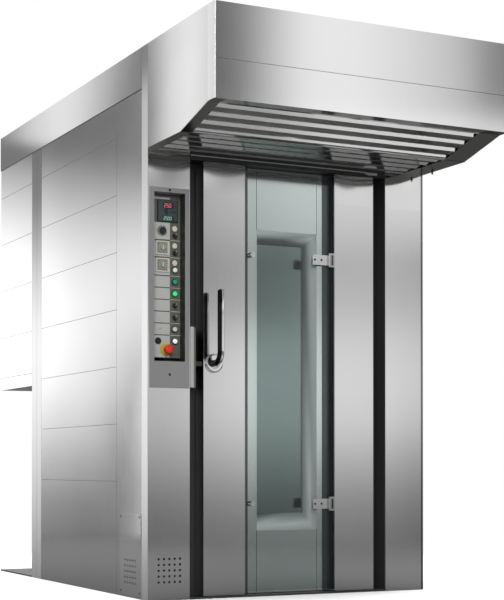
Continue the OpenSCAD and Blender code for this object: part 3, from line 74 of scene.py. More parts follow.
# %% [markdown]
# The camera stands where the photographer stood: low, some seven metres off, to the left of the
# door. A long lens keeps the tall cabinet upright. The small shift slides the picture up in the
# frame the way a view camera does, so the side walls stay almost parallel.

# %% The camera
lens = bpy.data.cameras.new("long_lens")
lens.lens = 90.6035
lens.sensor_width = 36
lens.shift_y = 0.2511
lens.clip_start, lens.clip_end = 0.1, 100
camera = bpy.data.objects.new("camera", lens)
camera.location = (-3.1904, -6.726, 0.5779)
camera.rotation_euler = (math.radians(90.601), 0, math.radians(-26.5034))
bpy.context.scene.collection.objects.link(camera)
bpy.context.scene.camera = camera
bpy.context.scene.view_settings.view_transform = "Standard"
print("camera is", round(camera.location.length, 2), "m from the middle of the floor")

# %% [markdown]
# A finish is written as sums on sockets, so the code reads like the idea behind it. `Wire` is
# one output of a node: adding or multiplying wires lays down the Math nodes. `Finish` is one
# material, and its single method lays down any other node.

# %% Shader sums written as plain expressions
class Wire:
    """An output of a node. Arithmetic on it adds Math nodes."""

    def __init__(self, finish, socket):
        self.finish, self.socket = finish, socket

    def sum_up(self, how, *values):
        return self.finish.node("Math", {"operation": how}, dict(enumerate(values)))

    def __add__(self, other):
        return self.sum_up("ADD", self, other)

    def __sub__(self, other):
        return self.sum_up("SUBTRACT", self, other)

    def __mul__(self, other):
        return self.sum_up("MULTIPLY", self, other)

    def __truediv__(self, other):
        return self.sum_up("DIVIDE", self, other)

    def __rsub__(self, other):
        return self.sum_up("SUBTRACT", other, self)

    def __gt__(self, other):
        return self.sum_up("GREATER_THAN", self, other)

    def __abs__(self):
        return self.sum_up("ABSOLUTE", self)

    __radd__, __rmul__ = __add__, __mul__

    def ramp(self, low, high, start=0.0, end=1.0):
        """Goes smoothly from start to end as the value goes from low to high."""
        return self.finish.node("MapRange", {"interpolation_type": "SMOOTHSTEP"},
                                {"Value": self, "From Min": low, "From Max": high,
                                 "To Min": start, "To Max": end})


class Finish:
    """A tree of shader nodes: a new material, or the light round the oven."""

    def __init__(self, name, owner=None):
        self.owner = owner or bpy.data.materials.new(name)
        self.owner.use_nodes = True
        self.tree = self.owner.node_tree
        self.tree.nodes.clear()

    def node(self, kind, settings=None, sockets=None, out=0):
        made = self.tree.nodes.new("ShaderNode" + kind)
        for key, value in (settings or {}).items():
            if key == "stops":
                bar = made.color_ramp.elements
                bar[0].color, bar[1].color = (*value[0][1], 1), (*value[-1][1], 1)
                for place, colour in value[1:-1]:
                    bar.new(place).color = (*colour, 1)
            else:
                setattr(made, key, value)
        for key, value in (sockets or {}).items():
            slot = made.inputs[key] if isinstance(key, int) else next(
                s for s in made.inputs if s.name == key and s.enabled)
            if isinstance(value, Wire):
                self.tree.links.new(value.socket, slot)
            else:
                slot.default_value = value
        outs = [s for s in made.outputs if s.enabled]
        chosen = outs[out] if isinstance(out, int) else next(s for s in outs if s.name == out)
        return Wire(self, chosen)

    def axes(self, wire):
        return [self.node("SeparateXYZ", {}, {"Vector": wire}, out) for out in "XYZ"]

    def blend(self, share, first, second):
        """A colour between two, by share."""
        return self.node("Mix", {"data_type": "RGBA"},
                         {"Factor": share, "A": first, "B": second})

    def noise(self, where, scale, stretch=(1, 1, 1), detail=2.0, rough=0.5):
        """Cloudy noise from 0 to 1, stretched along an axis."""
        pulled = self.node("VectorMath", {"operation": "MULTIPLY"}, {0: where, 1: stretch})
        return self.node("TexNoise", {}, {"Vector": pulled, "Scale": scale, "Detail": detail,
                                          "Roughness": rough}, "Fac")

    def surface(self, shader):
        kind = "World" if isinstance(self.owner, bpy.types.World) else "Material"
        end = self.tree.nodes.new("ShaderNodeOutput" + kind)
        self.tree.links.new(shader.socket, end.inputs["Surface"])
        return self.owner


print("socket sums ready")

# %% [markdown]
# Polished sheet has hardly a colour of its own: what the eye reads as steel is the room it
# mirrors. A studio gives it long soft strips of light with dark gaps between them, so the room
# here is a smooth band, bright at eye level and dim at the floor and overhead. The camera
# itself, and anything seen through the glass, sees a plain white backdrop.

# %% The room that the steel mirrors
world = bpy.data.worlds.new("studio")
bpy.context.scene.world = world
room = Finish("studio", world)
look = room.node("TexCoord", {}, {}, "Generated")
right, back, up = room.axes(look)
DEGREES = 180 / math.pi
height = up.sum_up("ARCSINE", up) * DEGREES
around = abs(right.sum_up("ARCTAN2", right, back) * DEGREES)


def by_height(angle, *stops):
    """Brightness by the angle over the horizon, given as pairs of angle and tone."""
    low, high = stops[0][0], stops[-1][0]
    share = room.node("MapRange", {}, {"Value": angle, "From Min": low, "From Max": high})
    bar = [((at_angle - low) / (high - low), (tone, tone, tone)) for at_angle, tone in stops]
    return room.node("ValToRGB", {"stops": bar}, {"Fac": share}, "Color")


# The room at the oven's left, which the side walls mirror. The band sits higher for the column
# panel and the corner strip in front, and it is brighter for the walls towards the back.
lag = height.ramp(12, 4, 0.2, 2.3) + height.ramp(3.4, 1.2) * around.ramp(22.4, 22.2) * 1.6
raised = height - around.ramp(21.25, 21.55) * lag
beside = by_height(
    raised, (-11, 0.06), (-8, 0.20), (-4, 0.16), (-2.8, 0.17), (-1.3, 0.26), (0.2, 0.45),
    (1.7, 0.70), (3.2, 0.92), (4.8, 1.0), (6.3, 0.99), (7.8, 0.86), (9.2, 0.64), (10.5, 0.40),
    (11.6, 0.22), (13, 0.19), (22, 0.24), (50, 0.36))
beside = beside * (around.ramp(21.6, 16.0) * height.ramp(12.4, 10.8) * 0.75 + 1)
corner = around.ramp(22.25, 22.4) * height.ramp(4.0, 0.0) * height.ramp(-9.5, -7.5)
beside = beside * (corner * 4 + 1)

# The room before the oven, which the door and the hood mirror, with a dimmer left part high up
# and a dimmer right part low down.
before = by_height(
    height, (-8, 0.22), (-4.3, 0.25), (-2.8, 0.20), (-1.3, 0.30), (0.2, 0.55), (1.7, 0.80),
    (3.2, 0.87), (4.7, 0.80), (6.1, 0.60), (7.6, 0.50), (9.1, 0.72), (10.4, 0.82), (12.4, 0.76),
    (13.2, 0.20), (22, 0.24), (50, 0.36))
left_part = around.ramp(150.8, 153.8) * height.ramp(4.2, 6.2) * 0.2
right_part = around.ramp(149.2, 146.7) * height.ramp(9.5, 7.5) * height.ramp(3, 0, 0.2, 0.35)
before = before * (1 - left_part) * (1 - right_part) * around.ramp(153.2, 157.2, 1.0, 0.66)

# %% [markdown]
# Above that band the photographer hung tall narrow lights: two at the oven's left and one in
# front. The top trim and the hood mirror them as bright patches that fade to grey at both ends
# of each sheet. All angles are in degrees, up from the horizon and round from the back.

# %% Tall narrow lights over the band
side_lights = height.ramp(13.2, 13.8) * height.ramp(30, 20)
front_lights = height.ramp(12.2, 12.8) * height.ramp(30, 20)
first = around.ramp(15.6, 17.6) * around.ramp(20.9, 18.1)
second = around.ramp(22.75, 23.4) * around.ramp(25.6, 24.0, 0.5, 1.0) * height.ramp(11.3, 12.0)
third = around.ramp(154.6, 151.1) * around.ramp(143.7, 146.0)
third = third * around.ramp(143.0, 150.5, 0.35, 1.0)
beside = beside + first * side_lights * 0.68 + second * 0.80
before = before + third * front_lights * 0.70
ahead = around.ramp(60, 120)
level = beside * (1 - ahead) + before * ahead

# %% Join the room to the backdrop
WHITE = (1, 1, 1, 1)
seen = (room.node("LightPath", {}, {}, "Is Camera Ray")
        + room.node("LightPath", {}, {}, "Is Transmission Ray"))
plain = room.node("Background", {}, {"Color": WHITE, "Strength": 1.0})
glow = room.node("Background", {}, {"Color": WHITE, "Strength": level})
outlook = room.node("MixShader", {}, {0: seen.sum_up("MINIMUM", seen, 1.0), 1: glow, 2: plain})
room.surface(outlook)
print("room nodes:", len(room.tree.nodes))

# %% [markdown]
# Paint, plastic and the floor need real lamps, because a band of sky that suits a mirror leaves
# them grey. Big soft areas stand on all four sides and overhead. The steel doesn't mirror them:
# it has the room for that.

# %% Soft lamps
def lamp(name, spot, aim, size, power):
    """A square soft light at one point, facing another."""
    data = bpy.data.lights.new(name, "AREA")
    data.shape, data.size, data.energy = "SQUARE", size, power
    thing = bpy.data.objects.new(name, data)
    thing.location = spot
    thing.rotation_euler = (Vector(aim) - Vector(spot)).to_track_quat("-Z", "Y").to_euler()
    thing.visible_glossy = False
    bpy.context.scene.collection.objects.link(thing)


OVEN_MIDDLE, FLOOR_MIDDLE = (0, 0, 1.1), (0, 0, 0)
lamp("front_softbox", (-2.5, -6.0, 3.6), OVEN_MIDDLE, 3.5, 430)
lamp("left_softbox", (-6.0, 1.0, 3.0), OVEN_MIDDLE, 3.5, 330)
lamp("top_softbox", (0.5, -0.5, 6.5), FLOOR_MIDDLE, 5.0, 330)
lamp("right_softbox", (6.0, 0.5, 3.0), OVEN_MIDDLE, 3.5, 260)
lamp("back_softbox", (0, 6.5, 3.0), OVEN_MIDDLE, 3.5, 260)

# %% [markdown]
# The floor is a pale disc. Near the oven it is lit like any floor and keeps the shadow. Further
# out it fades to the white of the backdrop, so no horizon shows. Steel mirrors a dim floor in the
# photograph, so for mirrored rays the floor's colour is a painted shade, apart from a painted pool
# of light before the door, which the slats under the hood pick up.

# %% The floor
FLOOR_RADIUS = 9.0
disc = bmesh.new()
bmesh.ops.create_circle(disc, cap_ends=True, radius=FLOOR_RADIUS, segments=96)
floor_mesh = bpy.data.meshes.new("floor")
disc.to_mesh(floor_mesh)
disc.free()
floor = bpy.data.objects.new("floor", floor_mesh)
floor.location = (0.0, 0.4, 0.0)
bpy.context.scene.collection.objects.link(floor)
ground = Finish("pale_floor")
spot = ground.node("TexCoord", {}, {}, "Object")
far = ground.node("VectorMath", {"operation": "LENGTH"}, {0: spot}, "Value")
mirrored = ground.node("LightPath", {}, {}, "Is Glossy Ray")
across, along = ground.axes(spot)[:2]
# A painted pool of light before the door, seen only by mirrored rays, on a floor painted dim for
# them.
pool = along.ramp(-3.5, -1.9, 0.2, 1.0) * along.ramp(-1.2, -1.5)
pool = pool * across.ramp(0.5, 1.15, 0.31, 0.78)
flatness = ground.node("LayerWeight", {}, {}, "Facing")
pool = pool * flatness.ramp(0.8, 0.4, 0.05, 1.0)
pale, dim, bright = (0.86, 0.86, 0.86, 1), (0.108, 0.108, 0.108, 1), (0.5, 0.5, 0.5, 1)
lit = ground.node("BsdfPrincipled", {}, {
    "Base Color": ground.blend(mirrored, pale, ground.blend(pool, dim, bright)),
    "Roughness": 0.7, "Specular IOR Level": 0.1})
white = ground.node("Emission", {}, {"Color": WHITE, "Strength": 1.0})
clear = ground.node("BsdfTransparent", {}, {"Color": WHITE})
camera_ray = ground.node("LightPath", {}, {}, "Is Camera Ray")
seen_far = ground.node("MixShader", {}, {0: camera_ray, 1: clear, 2: white})
fade = far.ramp(1.5, 3.0) * (1 - mirrored) + far.ramp(4.6, 6.0) * mirrored
ground.surface(ground.node("MixShader", {}, {0: fade, 1: lit, 2: seen_far}))
floor.data.materials.append(ground.owner)
print("floor radius:", FLOOR_RADIUS, "m")

# %% [markdown]
# ## Finishes
#
# Stainless sheet leaves the mill with a fine grain in the rolling direction. The grain is far
# too thin to see as lines from here, but it stretches every reflection and breaks up the
# gloss. So one recipe serves every steel sheet: a noise pulled long in the grain's direction
# shifts the colour and the roughness a little and scratches the surface, and a slow wave bends
# the reflections the way a big thin panel does.

# %% The steel recipe
LONG = {"x": (0.02, 1, 1), "y": (1, 0.02, 1), "z": (1, 1, 0.02)}
# Door and front panels bulge from this height up, in metres, and by this much.
BOW_FOOT, BOW_RISE = 1.78, 0.016


def steel(name, tone, gloss, grain="z", scratch=0.05, wave=0.0, tint=(1, 1, 1), spread=0.05,
          bows=(), lean=0.0, dull=None, share=None, shade=None, bare=(0.62, 0.62, 0.60),
          inside=None):
    """Sheet steel: tone is its reflectance, gloss its roughness, grain the rolling direction.

    tint colours it and spread is how far its tone wanders. scratch and wave are the strengths of
    the grain and of the slow wave. bows are the middle and half width, in the fitter's
    millimetres, of panels that bulge a little near their top edge, and lean tips a sheet back.
    dull is a painted shade colour, laid where share, a sum of x, y and z, is 1. shade is the
    pair of sideways slopes of the surface between which the colour turns to dull, a painted
    shade on one side. Where the sum inside is 1, the sheet is matt and as grey as bare: a back
    that was never polished, or, where bare is dark, a painted shade.
    """
    f = Finish(name)
    where = f.node("TexCoord", {}, {}, "Object")
    line = f.noise(where, 420, LONG[grain], 3, 0.6)
    cloud = f.noise(where, 2.2, (1, 1, 1), 3, 0.55)
    dark = tuple(tone * (1 - spread) * c for c in tint) + (1,)
    pale = tuple(tone * (1 + spread) * c for c in tint) + (1,)
    bump = f.node("Bump", {}, {"Strength": scratch, "Distance": 0.0002, "Height": line})
    if wave:
        slow = f.noise(where, 1.7, (1, 1, 1), 1, 0.4)
        bump = f.node("Bump", {}, {"Strength": wave, "Distance": 0.02, "Height": slow,
                                   "Normal": bump})
    x, y, z = f.axes(where)
    if lean:
        bump = f.node("Bump", {}, {"Strength": 1.0, "Distance": 1.0, "Height": z * -lean,
                                   "Normal": bump})
    if bows:
        off = [abs(x - at(middle, 0, 0).x) / (half / 1000) for middle, half in bows]
        u = off[0] if len(off) == 1 else x.sum_up("MINIMUM", *off)
        upper = z.sum_up("MAXIMUM", z - BOW_FOOT, 0.0)
        bump = f.node("Bump", {}, {"Strength": 1.0, "Distance": 1.0, "Normal": bump,
                                   "Height": (1 - u * u) * upper * -BOW_RISE})
    colour = f.blend(line * 0.6 + cloud * 0.4, dark, pale)
    metal = 1.0
    if shade:
        sideways = f.axes(f.node("TexCoord", {}, {}, "Normal"))[0]
        colour = f.blend(sideways.ramp(*shade), colour, (*dull, 1))
    if share:
        colour = f.blend(share(x, y, z), colour, (*dull, 1))
    if inside:
        part = inside(x, y, z)
        colour = f.blend(part, colour, (*bare, 1))
        metal = 1 - part
    f.surface(f.node("BsdfPrincipled", {}, {
        "Base Color": colour,
        "Metallic": metal, "Roughness": cloud * 0.05 + line * 0.04 + (gloss - 0.045),
        "Normal": bump}))
    return f.owner


finishes = {}


def keep(recipe, name, *how, **more):
    """Makes a finish by a recipe and keeps it under its name."""
    finishes[name] = recipe(name, *how, **more)


keep(steel, "satin_steel", 0.77, 0.08, "z", 0.04, 0.03)
keep(steel, "bright_steel", 0.90, 0.07, "z", 0.03, 0.02)
keep(steel, "brushed_door", 0.79, 0.09, "z", 0.05, 0.012, bows=[(367, 104), (1024, 103)])
keep(steel, "lining_steel", 0.60, 0.30, "z", 0.08, 0.06)
# The louvre's ends, outside the outer slats, get a dark painted shade.
SLAT_LEFT, SLAT_RIGHT = at(53, 0, 0).x, at(1292, 0, 0).x
keep(steel, "louvre_steel", 0.80, 0.14, "x", 0.04, dull=(0.15, 0.15, 0.135),
     share=lambda x, y, z: (x > SLAT_RIGHT) + (SLAT_LEFT - x > 0))
keep(steel, "galvanised", 0.60, 0.38, "x", 0.05, 0.05, (0.98, 1.0, 1.02), 0.12)
keep(steel, "heat_steel", 0.45, 0.36, "z", 0.08, 0.05, (1.0, 0.86, 0.74), 0.18)
keep(steel, "chrome", 0.84, 0.05, "z", 0.02)
print("steel finishes:", sorted(finishes))

# %% [markdown]
# The door frame, the bezel and the motors are painted. Paint has an even colour, a soft sheen
# and the faint dimples that a spray gun leaves, so its noise only stirs the gloss and the bump.

# %% The paint and plastic recipes
def painted(name, colour, gloss, dimples=0.05, metal=0.0):
    """Sprayed paint, with the gun's faint dimples."""
    f = Finish(name)
    where = f.node("TexCoord", {}, {}, "Object")
    peel = f.noise(where, 320, (1, 1, 1), 2, 0.5)
    cloud = f.noise(where, 5, (1, 1, 1), 3, 0.6)
    worn = tuple(min(1.0, c * 1.25 + 0.004) for c in colour) + (1,)
    bump = f.node("Bump", {}, {"Strength": dimples, "Distance": 0.0004, "Height": peel})
    f.surface(f.node("BsdfPrincipled", {}, {
        "Base Color": f.blend(cloud * 0.5, (*colour, 1), worn),
        "Metallic": metal, "Roughness": cloud * 0.10 + (gloss - 0.05), "Normal": bump}))
    return f.owner


def moulded(name, colour, gloss, grain=0.04, light=0.0):
    """Moulded plastic with a fine texture; light makes a lens that is lit from behind."""
    f = Finish(name)
    where = f.node("TexCoord", {}, {}, "Object")
    fine = f.noise(where, 900, (1, 1, 1), 2, 0.5)
    cloud = f.noise(where, 14, (1, 1, 1), 2, 0.5)
    deep = tuple(c * 0.86 for c in colour) + (1,)
    bump = f.node("Bump", {}, {"Strength": grain, "Distance": 0.0002, "Height": fine})
    parts = {"Base Color": f.blend(cloud, deep, (*colour, 1)),
             "Roughness": cloud * 0.08 + fine * 0.06 + (gloss - 0.07), "Normal": bump}
    if light:
        parts["Emission Color"] = (*colour, 1)
        parts["Emission Strength"] = light
    f.surface(f.node("BsdfPrincipled", {}, parts))
    return f.owner


keep(painted, "black_frame", (0.022, 0.022, 0.023), 0.34)
keep(painted, "bezel_paint", (0.155, 0.155, 0.157), 0.42)
keep(painted, "motor_paint", (0.10, 0.17, 0.26), 0.35, 0.12)
keep(moulded, "panel_plastic", (0.085, 0.088, 0.070), 0.40)
keep(moulded, "black_plastic", (0.016, 0.016, 0.016), 0.36)
keep(moulded, "white_plastic", (0.62, 0.62, 0.60), 0.28)
keep(moulded, "teal_plastic", (0.008, 0.26, 0.19), 0.25)
keep(moulded, "green_plastic", (0.02, 0.62, 0.16), 0.25, 0.04, 0.35)
keep(moulded, "grey_plastic", (0.46, 0.46, 0.45), 0.35)
keep(moulded, "red_plastic", (0.60, 0.02, 0.018), 0.32)
keep(moulded, "seal_rubber", (0.02, 0.02, 0.02), 0.7, 0.2)
keep(moulded, "cast_bars", (0.09, 0.085, 0.08), 0.75, 0.6)
keep(moulded, "mineral_wool", (0.20, 0.185, 0.145), 0.95, 0.9)
keep(moulded, "lamp_plastic", (0.52, 0.45, 0.39), 0.3)
print("finishes so far:", len(finishes))

# %% [markdown]
# A pane shows two things at once: what lies behind it, slightly green, and a mirror of what
# stands before it, which grows towards a flat view. Mixing a clear and a glossy shader by the
# Fresnel law gives both and stays quick to render. The pane's narrow edges are deep green,
# because the eye looks along the glass there.

# %% The glass recipe
GLASS_IOR = 1.5


def pane(name, tint, edge, lift=0.0):
    """Float glass: tint is what passes, edge the colour of its narrow sides, and lift adds to
    the share that is mirrored."""
    f = Finish(name)
    where = f.node("TexCoord", {}, {}, "Object")
    facing = f.axes(f.node("TexCoord", {}, {}, "Normal"))[1]
    rim = 1 - (abs(facing) > 0.5)
    ripple = f.noise(where, 1.3, (1, 1, 1), 2, 0.4)
    smear = f.noise(where, 9, (1, 1, 0.25), 4, 0.6)
    bump = f.node("Bump", {}, {"Strength": 0.06, "Distance": 0.01, "Height": ripple})
    through = f.node("BsdfTransparent", {}, {"Color": (*tint, 1)})
    mirror = f.node("BsdfPrincipled", {}, {
        "Base Color": (0.86, 0.98, 0.97, 1), "Metallic": 1.0, "Roughness": smear * 0.05 + 0.01,
        "Normal": bump})
    law = f.node("Fresnel", {}, {"IOR": GLASS_IOR})
    body = f.node("MixShader", {}, {0: law + lift, 1: through, 2: mirror})
    pale_edge = tuple(c * 1.3 for c in edge) + (1,)
    green = f.node("BsdfPrincipled", {}, {"Base Color": f.blend(smear, (*edge, 1), pale_edge),
                                          "Roughness": 0.15})
    f.surface(f.node("MixShader", {}, {0: rim, 1: body, 2: green}))
    return f.owner


keep(pane, "outer_glazing", (0.962, 0.984, 0.978), (0.025, 0.06, 0.05))
keep(pane, "inner_glazing", (0.42, 0.50, 0.49), (0.05, 0.09, 0.08), 0.20)
print("glass finishes:", [n for n in finishes if "glazing" in n])

# %% [markdown]
# Each sheet part of the model has a slot name in its record, which says what it is made of. A
# part whose shape is already right only needs the finish of its slot. Some sheets get a painted
# shade on a fold, at one end or on a recessed face, where they would mirror something dark, and
# some have a back that was never polished. These get a finish of their own, which changes at a
# place measured on the sheet.

# %% Dress every sheet part
slots = {a["node"]: a["material_slot"] for a in frame["record"]["subparts"]}
for node_name, thing in frame["nodes"].items():
    thing.data.materials.clear()
    thing.data.materials.append(finishes[slots[node_name]])
PANEL_RETURN, CHEEK_FACE = at(1388, 0, 0).x, at(1399.4, 0, 0).x
CHEEK_FOLD, HOOD_BACK, KEEPER_BACK, REAR_POSTS = (
    at(0, y, 0).y for y in (-613, -674, 27.5, 1227.5))
keep(steel, "front_sheet_left", 0.83, 0.08, "z", 0.04, 0.01, bows=[(100, 98)])
# Past its right fold, the right front sheet is a dark painted shade.
keep(steel, "front_sheet_right", 0.83, 0.08, "z", 0.04, 0.01, bows=[(1295, 103)],
     dull=(0.2, 0.2, 0.2), share=lambda x, y, z: x > PANEL_RETURN)
# The corner posts get a painted shade: all of them at the top, the rear posts from 1.1 m up.
keep(steel, "corner_roll", 0.97, 0.30, "z", 0.03, dull=(0.22, 0.22, 0.22),
     share=lambda x, y, z: (y > REAR_POSTS) * z.ramp(1.1, 2.2) + z.ramp(2.12, 2.36, 0.1, 0.8))
keep(steel, "fascia_steel", 0.90, 0.07, "y", 0.03, 0.01, lean=0.045)
# Behind its bright front fold the hood cheek is a painted shade darker; its inner faces are matt,
# unpolished sheet.
keep(steel, "hood_cheek", 0.97, 0.07, "z", 0.03, 0.01, dull=(0.86, 0.86, 0.86),
     share=lambda x, y, z: y > CHEEK_FOLD, inside=lambda x, y, z: CHEEK_FACE - abs(x) > 0)
keep(steel, "hood_front_steel", 0.90, 0.07, "z", 0.03, 0.02,
     inside=lambda x, y, z: y > HOOD_BACK)
# The keeper's recessed back face, deep in the jamb, is a dark painted shade.
keep(steel, "keeper_steel", 0.92, 0.30, "z", 0.04, bare=(0.12, 0.118, 0.10),
     inside=lambda x, y, z: y > KEEPER_BACK)
# The latch bolt is painted dark, a painted shade for the jamb gap it sits in.
keep(steel, "bolt_steel", 0.12, 0.25, "x", 0.05)
OWN = {"front_left_panel": "front_sheet_left", "front_right_panel": "front_sheet_right",
       "corner_posts": "corner_roll", "fascia_bands": "fascia_steel", "hood_shell": "hood_cheek",
       "hood_front_panels": "hood_front_steel", "keeper_plate": "keeper_steel",
       "latch_bolt": "bolt_steel"}
for node_name, own in OWN.items():
    frame["nodes"][node_name].data.materials[0] = finishes[own]
print("dressed:", len(slots))

# %% [markdown]
# ## Small parts
#
# Knobs and caps are turned on a lathe, plates are cut and their edges are broken, bars are
# bent from tube. `Bench` works the same way: it keeps one mesh under work, in the fitter's
# millimetres, and gives it to a body of the frame when it is done.

# %% The bench
class Bench:
    """One piece under work, measured in the fitter's millimetres."""

    def __init__(self):
        self.mesh = bmesh.new()

    def slab(self, x, y, z):
        """A block between pairs of limits."""
        made = bmesh.ops.create_cube(self.mesh, size=1)["verts"]
        for v in made:
            v.co = at(*(lo + (hi - lo) * (c + 0.5) for (lo, hi), c in zip((x, y, z), v.co)))
        return self

    def turned(self, middle, axis, outline, steps=40):
        """Lathe work. The outline is pairs of distance along the axis and radius."""
        along = Vector(axis).normalized()
        side = along.orthogonal().normalized()
        other = along.cross(side)
        rings = [self.ring(Vector(middle) + along * far_out, side, other, radius, steps)
                 for far_out, radius in outline]
        return self.wrap(rings, steps)

    def ring(self, hub, side, other, radius, steps):
        """The corners of a circle, or its middle alone where the radius is nought."""
        turns = [2 * math.pi * i / steps for i in range(steps if radius else 1)]
        spokes = [side * math.cos(t) + other * math.sin(t) for t in turns]
        return [self.mesh.verts.new(at(*(hub + spoke * radius))) for spoke in spokes]

    def wrap(self, rings, steps):
        """Faces from each ring to the next and over both ends."""
        for a, b in zip(rings, rings[1:]):
            for i in range(steps):
                j = (i + 1) % steps
                corners = [a[i % len(a)], a[j % len(a)], b[j % len(b)], b[i % len(b)]]
                self.mesh.faces.new(list(dict.fromkeys(corners)))
        for ring in (rings[0], rings[-1]):
            if len(ring) > 1:
                self.mesh.faces.new(ring)
        return self

    def cut(self, corners, y):
        """A flat shape given by (x, z) corners, as thick as the pair y says."""
        rings = [[self.mesh.verts.new(at(cx, depth, cz)) for cx, cz in corners] for depth in y]
        for ring in rings:
            self.mesh.faces.new(ring)
        for i in range(len(corners)):
            j = (i + 1) % len(corners)
            self.mesh.faces.new([rings[0][i], rings[0][j], rings[1][j], rings[1][i]])
        return self

    def done(self, name, body, slot, finish=None, edge=0.0, stands_for=(), smooth=38):
        """Turns the work into a piece that rides on a body."""
        bmesh.ops.recalc_face_normals(self.mesh, faces=self.mesh.faces)
        mesh = bpy.data.meshes.new(name)
        self.mesh.to_mesh(mesh)
        self.mesh.free()
        mesh.polygons.foreach_set("use_smooth", [True] * len(mesh.polygons))
        mesh.set_sharp_from_angle(angle=math.radians(smooth))
        mesh.materials.append(finishes[finish or slot])
        piece = bpy.data.objects.new(name, mesh)
        bpy.context.scene.collection.objects.link(piece)
        if edge:
            broken = piece.modifiers.new("broken_edge", "BEVEL")
            broken.width, broken.segments, broken.limit_method = edge / 1000, 2, "ANGLE"
            broken.harden_normals = True
        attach(piece, body)
        if stands_for:
            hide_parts(*stands_for)
        return piece


FRONT, LEFT, DOWN = (0, -1, 0), (-1, 0, 0), (0, 0, -1)
print("bench ready")

# %% [markdown]
# The control plate sits 50 mm back in its bezel. It carries two columns: pale label strips on
# the left, the switches on a dark film on the right. Thin pale lines part the rows. The rows
# below the timers follow one pitch, so a list of heights places them all.

# %% Label strips and row lines
PLATE_Y = 50
LABEL_Y, SIGN_Y = (PLATE_Y - 0.9, PLATE_Y), (PLATE_Y - 1.05, PLATE_Y - 0.9)
LABEL_X, FILM_X, SIGN_X = (32.0, 125.0), (127.0, 174.0), 78
HALF_LABEL, LINE_UP = 23.6, 25.9
low_rows = [1383.2 - 51.8 * i for i in range(6)]
keep(moulded, "label_film", (0.34, 0.345, 0.335), 0.38)
keep(moulded, "row_ink", (0.36, 0.36, 0.32), 0.45)
labels = Bench()
for low, high in [(1567, 1641), (1492, 1560), (1412, 1486)]:
    labels.slab(LABEL_X, LABEL_Y, (low, high))
for row in low_rows[:5]:
    labels.slab(LABEL_X, LABEL_Y, (row - HALF_LABEL, row + HALF_LABEL))
labels.slab(LABEL_X, LABEL_Y, (1053, low_rows[5] + HALF_LABEL))
labels.slab((52.0, LABEL_X[1]), LABEL_Y, (1742, 1751))
labels.done("label_strips", "cabinet", "panel_plastic", "label_film", 0.3)
lines = Bench()
for level_z in [1564, 1489] + [row + LINE_UP for row in low_rows]:
    lines.slab(FILM_X, (PLATE_Y - 0.5, PLATE_Y), (level_z - 1.1, level_z + 1.1))
lines.done("row_lines", "cabinet", "panel_plastic", "row_ink", 0.15)
print("label rows:", len(low_rows) + 3)

# %% [markdown]
# Each label shows a small sign in orange: a broken ring, a moon, a pair of arcs, a star. They
# are thin printed marks, so each one is cut from a film 0.15 mm thick. The signs here are plain
# shapes of the kind that any bakery switch has.

# %% Signs on the labels
keep(moulded, "sign_ink", (0.62, 0.22, 0.12), 0.5)
keep(moulded, "pale_sign_ink", (0.50, 0.30, 0.25), 0.5)


def arc_sign(bench, x, z, radius, start, stop, wide=1.4, steps=18, depth=SIGN_Y):
    """A curved line cut from film, between two angles in degrees."""
    turns = [math.radians(start + (stop - start) * i / steps) for i in range(steps + 1)]
    for a, b in zip(turns, turns[1:]):
        bench.cut([(x + r * math.cos(t), z + r * math.sin(t))
                   for r, t in ((radius, a), (radius, b), (radius - wide, b), (radius - wide, a))],
                  depth)


signs = Bench()
arc_sign(signs, SIGN_X, low_rows[0], 10, 40, 320)
signs.slab((SIGN_X - 0.7, SIGN_X + 0.7), SIGN_Y, (low_rows[0] + 2, low_rows[0] + 14))
arc_sign(signs, SIGN_X, low_rows[1], 11, 0, 360)
arc_sign(signs, SIGN_X + 4, low_rows[1] + 3, 5, 90, 270)
arc_sign(signs, SIGN_X - 2, low_rows[2], 11, 20, 340)
arc_sign(signs, SIGN_X, low_rows[2], 5, 0, 360)
arc_sign(signs, SIGN_X - 6, low_rows[3], 11, -70, 70)
arc_sign(signs, SIGN_X + 6, low_rows[3], 11, 110, 250)
signs.done("row_signs", "cabinet", "panel_plastic", "pale_sign_ink")
star = Bench()
for i in range(6):
    t = math.radians(30 + 60 * i)
    c, d = math.cos(t), math.sin(t)
    star.cut([(SIGN_X + 1.5 * d, low_rows[4] - 1.5 * c),
              (SIGN_X + 11 * c, low_rows[4] + 11 * d),
              (SIGN_X - 1.5 * d, low_rows[4] + 1.5 * c)], SIGN_Y)
star.done("heat_sign", "cabinet", "panel_plastic", "sign_ink")
mark = Bench().slab((74, 83), SIGN_Y, (1100, 1105))
mark.done("buzzer_sign", "cabinet", "panel_plastic", "sign_ink")
print("signs cut")

# %% [markdown]
# The temperature controller is a square slate-coloured block with two windows and a half-round
# field between them. The upper window shows a number in red, the lower one a number in green. A
# figure is made of seven bars, so a table of lit bars draws them.

# %% Temperature controller
keep(moulded, "slate_face", (0.030, 0.046, 0.052), 0.30)
keep(moulded, "slate_rim", (0.012, 0.017, 0.018), 0.40)
keep(moulded, "red_figures", (0.75, 0.14, 0.17), 0.4, 0.0, 0.35)
keep(moulded, "green_figures", (0.28, 0.55, 0.42), 0.4, 0.0, 0.25)
BARS = {"a": (0, 2), "b": (1, 1.5), "c": (1, 0.5), "d": (0, 0), "e": (-1, 0.5), "f": (-1, 1.5),
        "g": (0, 1)}
LIT = {"0": "abcdef", "2": "abdeg", "5": "acdfg"}
RED_NUMBER, GREEN_NUMBER = "250", "2500"


def figures(bench, text, x, z, high, depth):
    """Seven-bar figures, from their left lower corner."""
    half, arm = high / 2, high * 0.25
    for i, figure in enumerate(text):
        mid = x + i * high * 0.72 + arm
        for bar in LIT[figure]:
            side_x, step = BARS[bar]
            cx, cz = mid + side_x * arm, z + step * half
            reach = (arm * 0.85, high * 0.06) if bar in "adg" else (high * 0.06, half * 0.42)
            bench.slab((cx - reach[0], cx + reach[0]), depth, (cz - reach[1], cz + reach[1]))


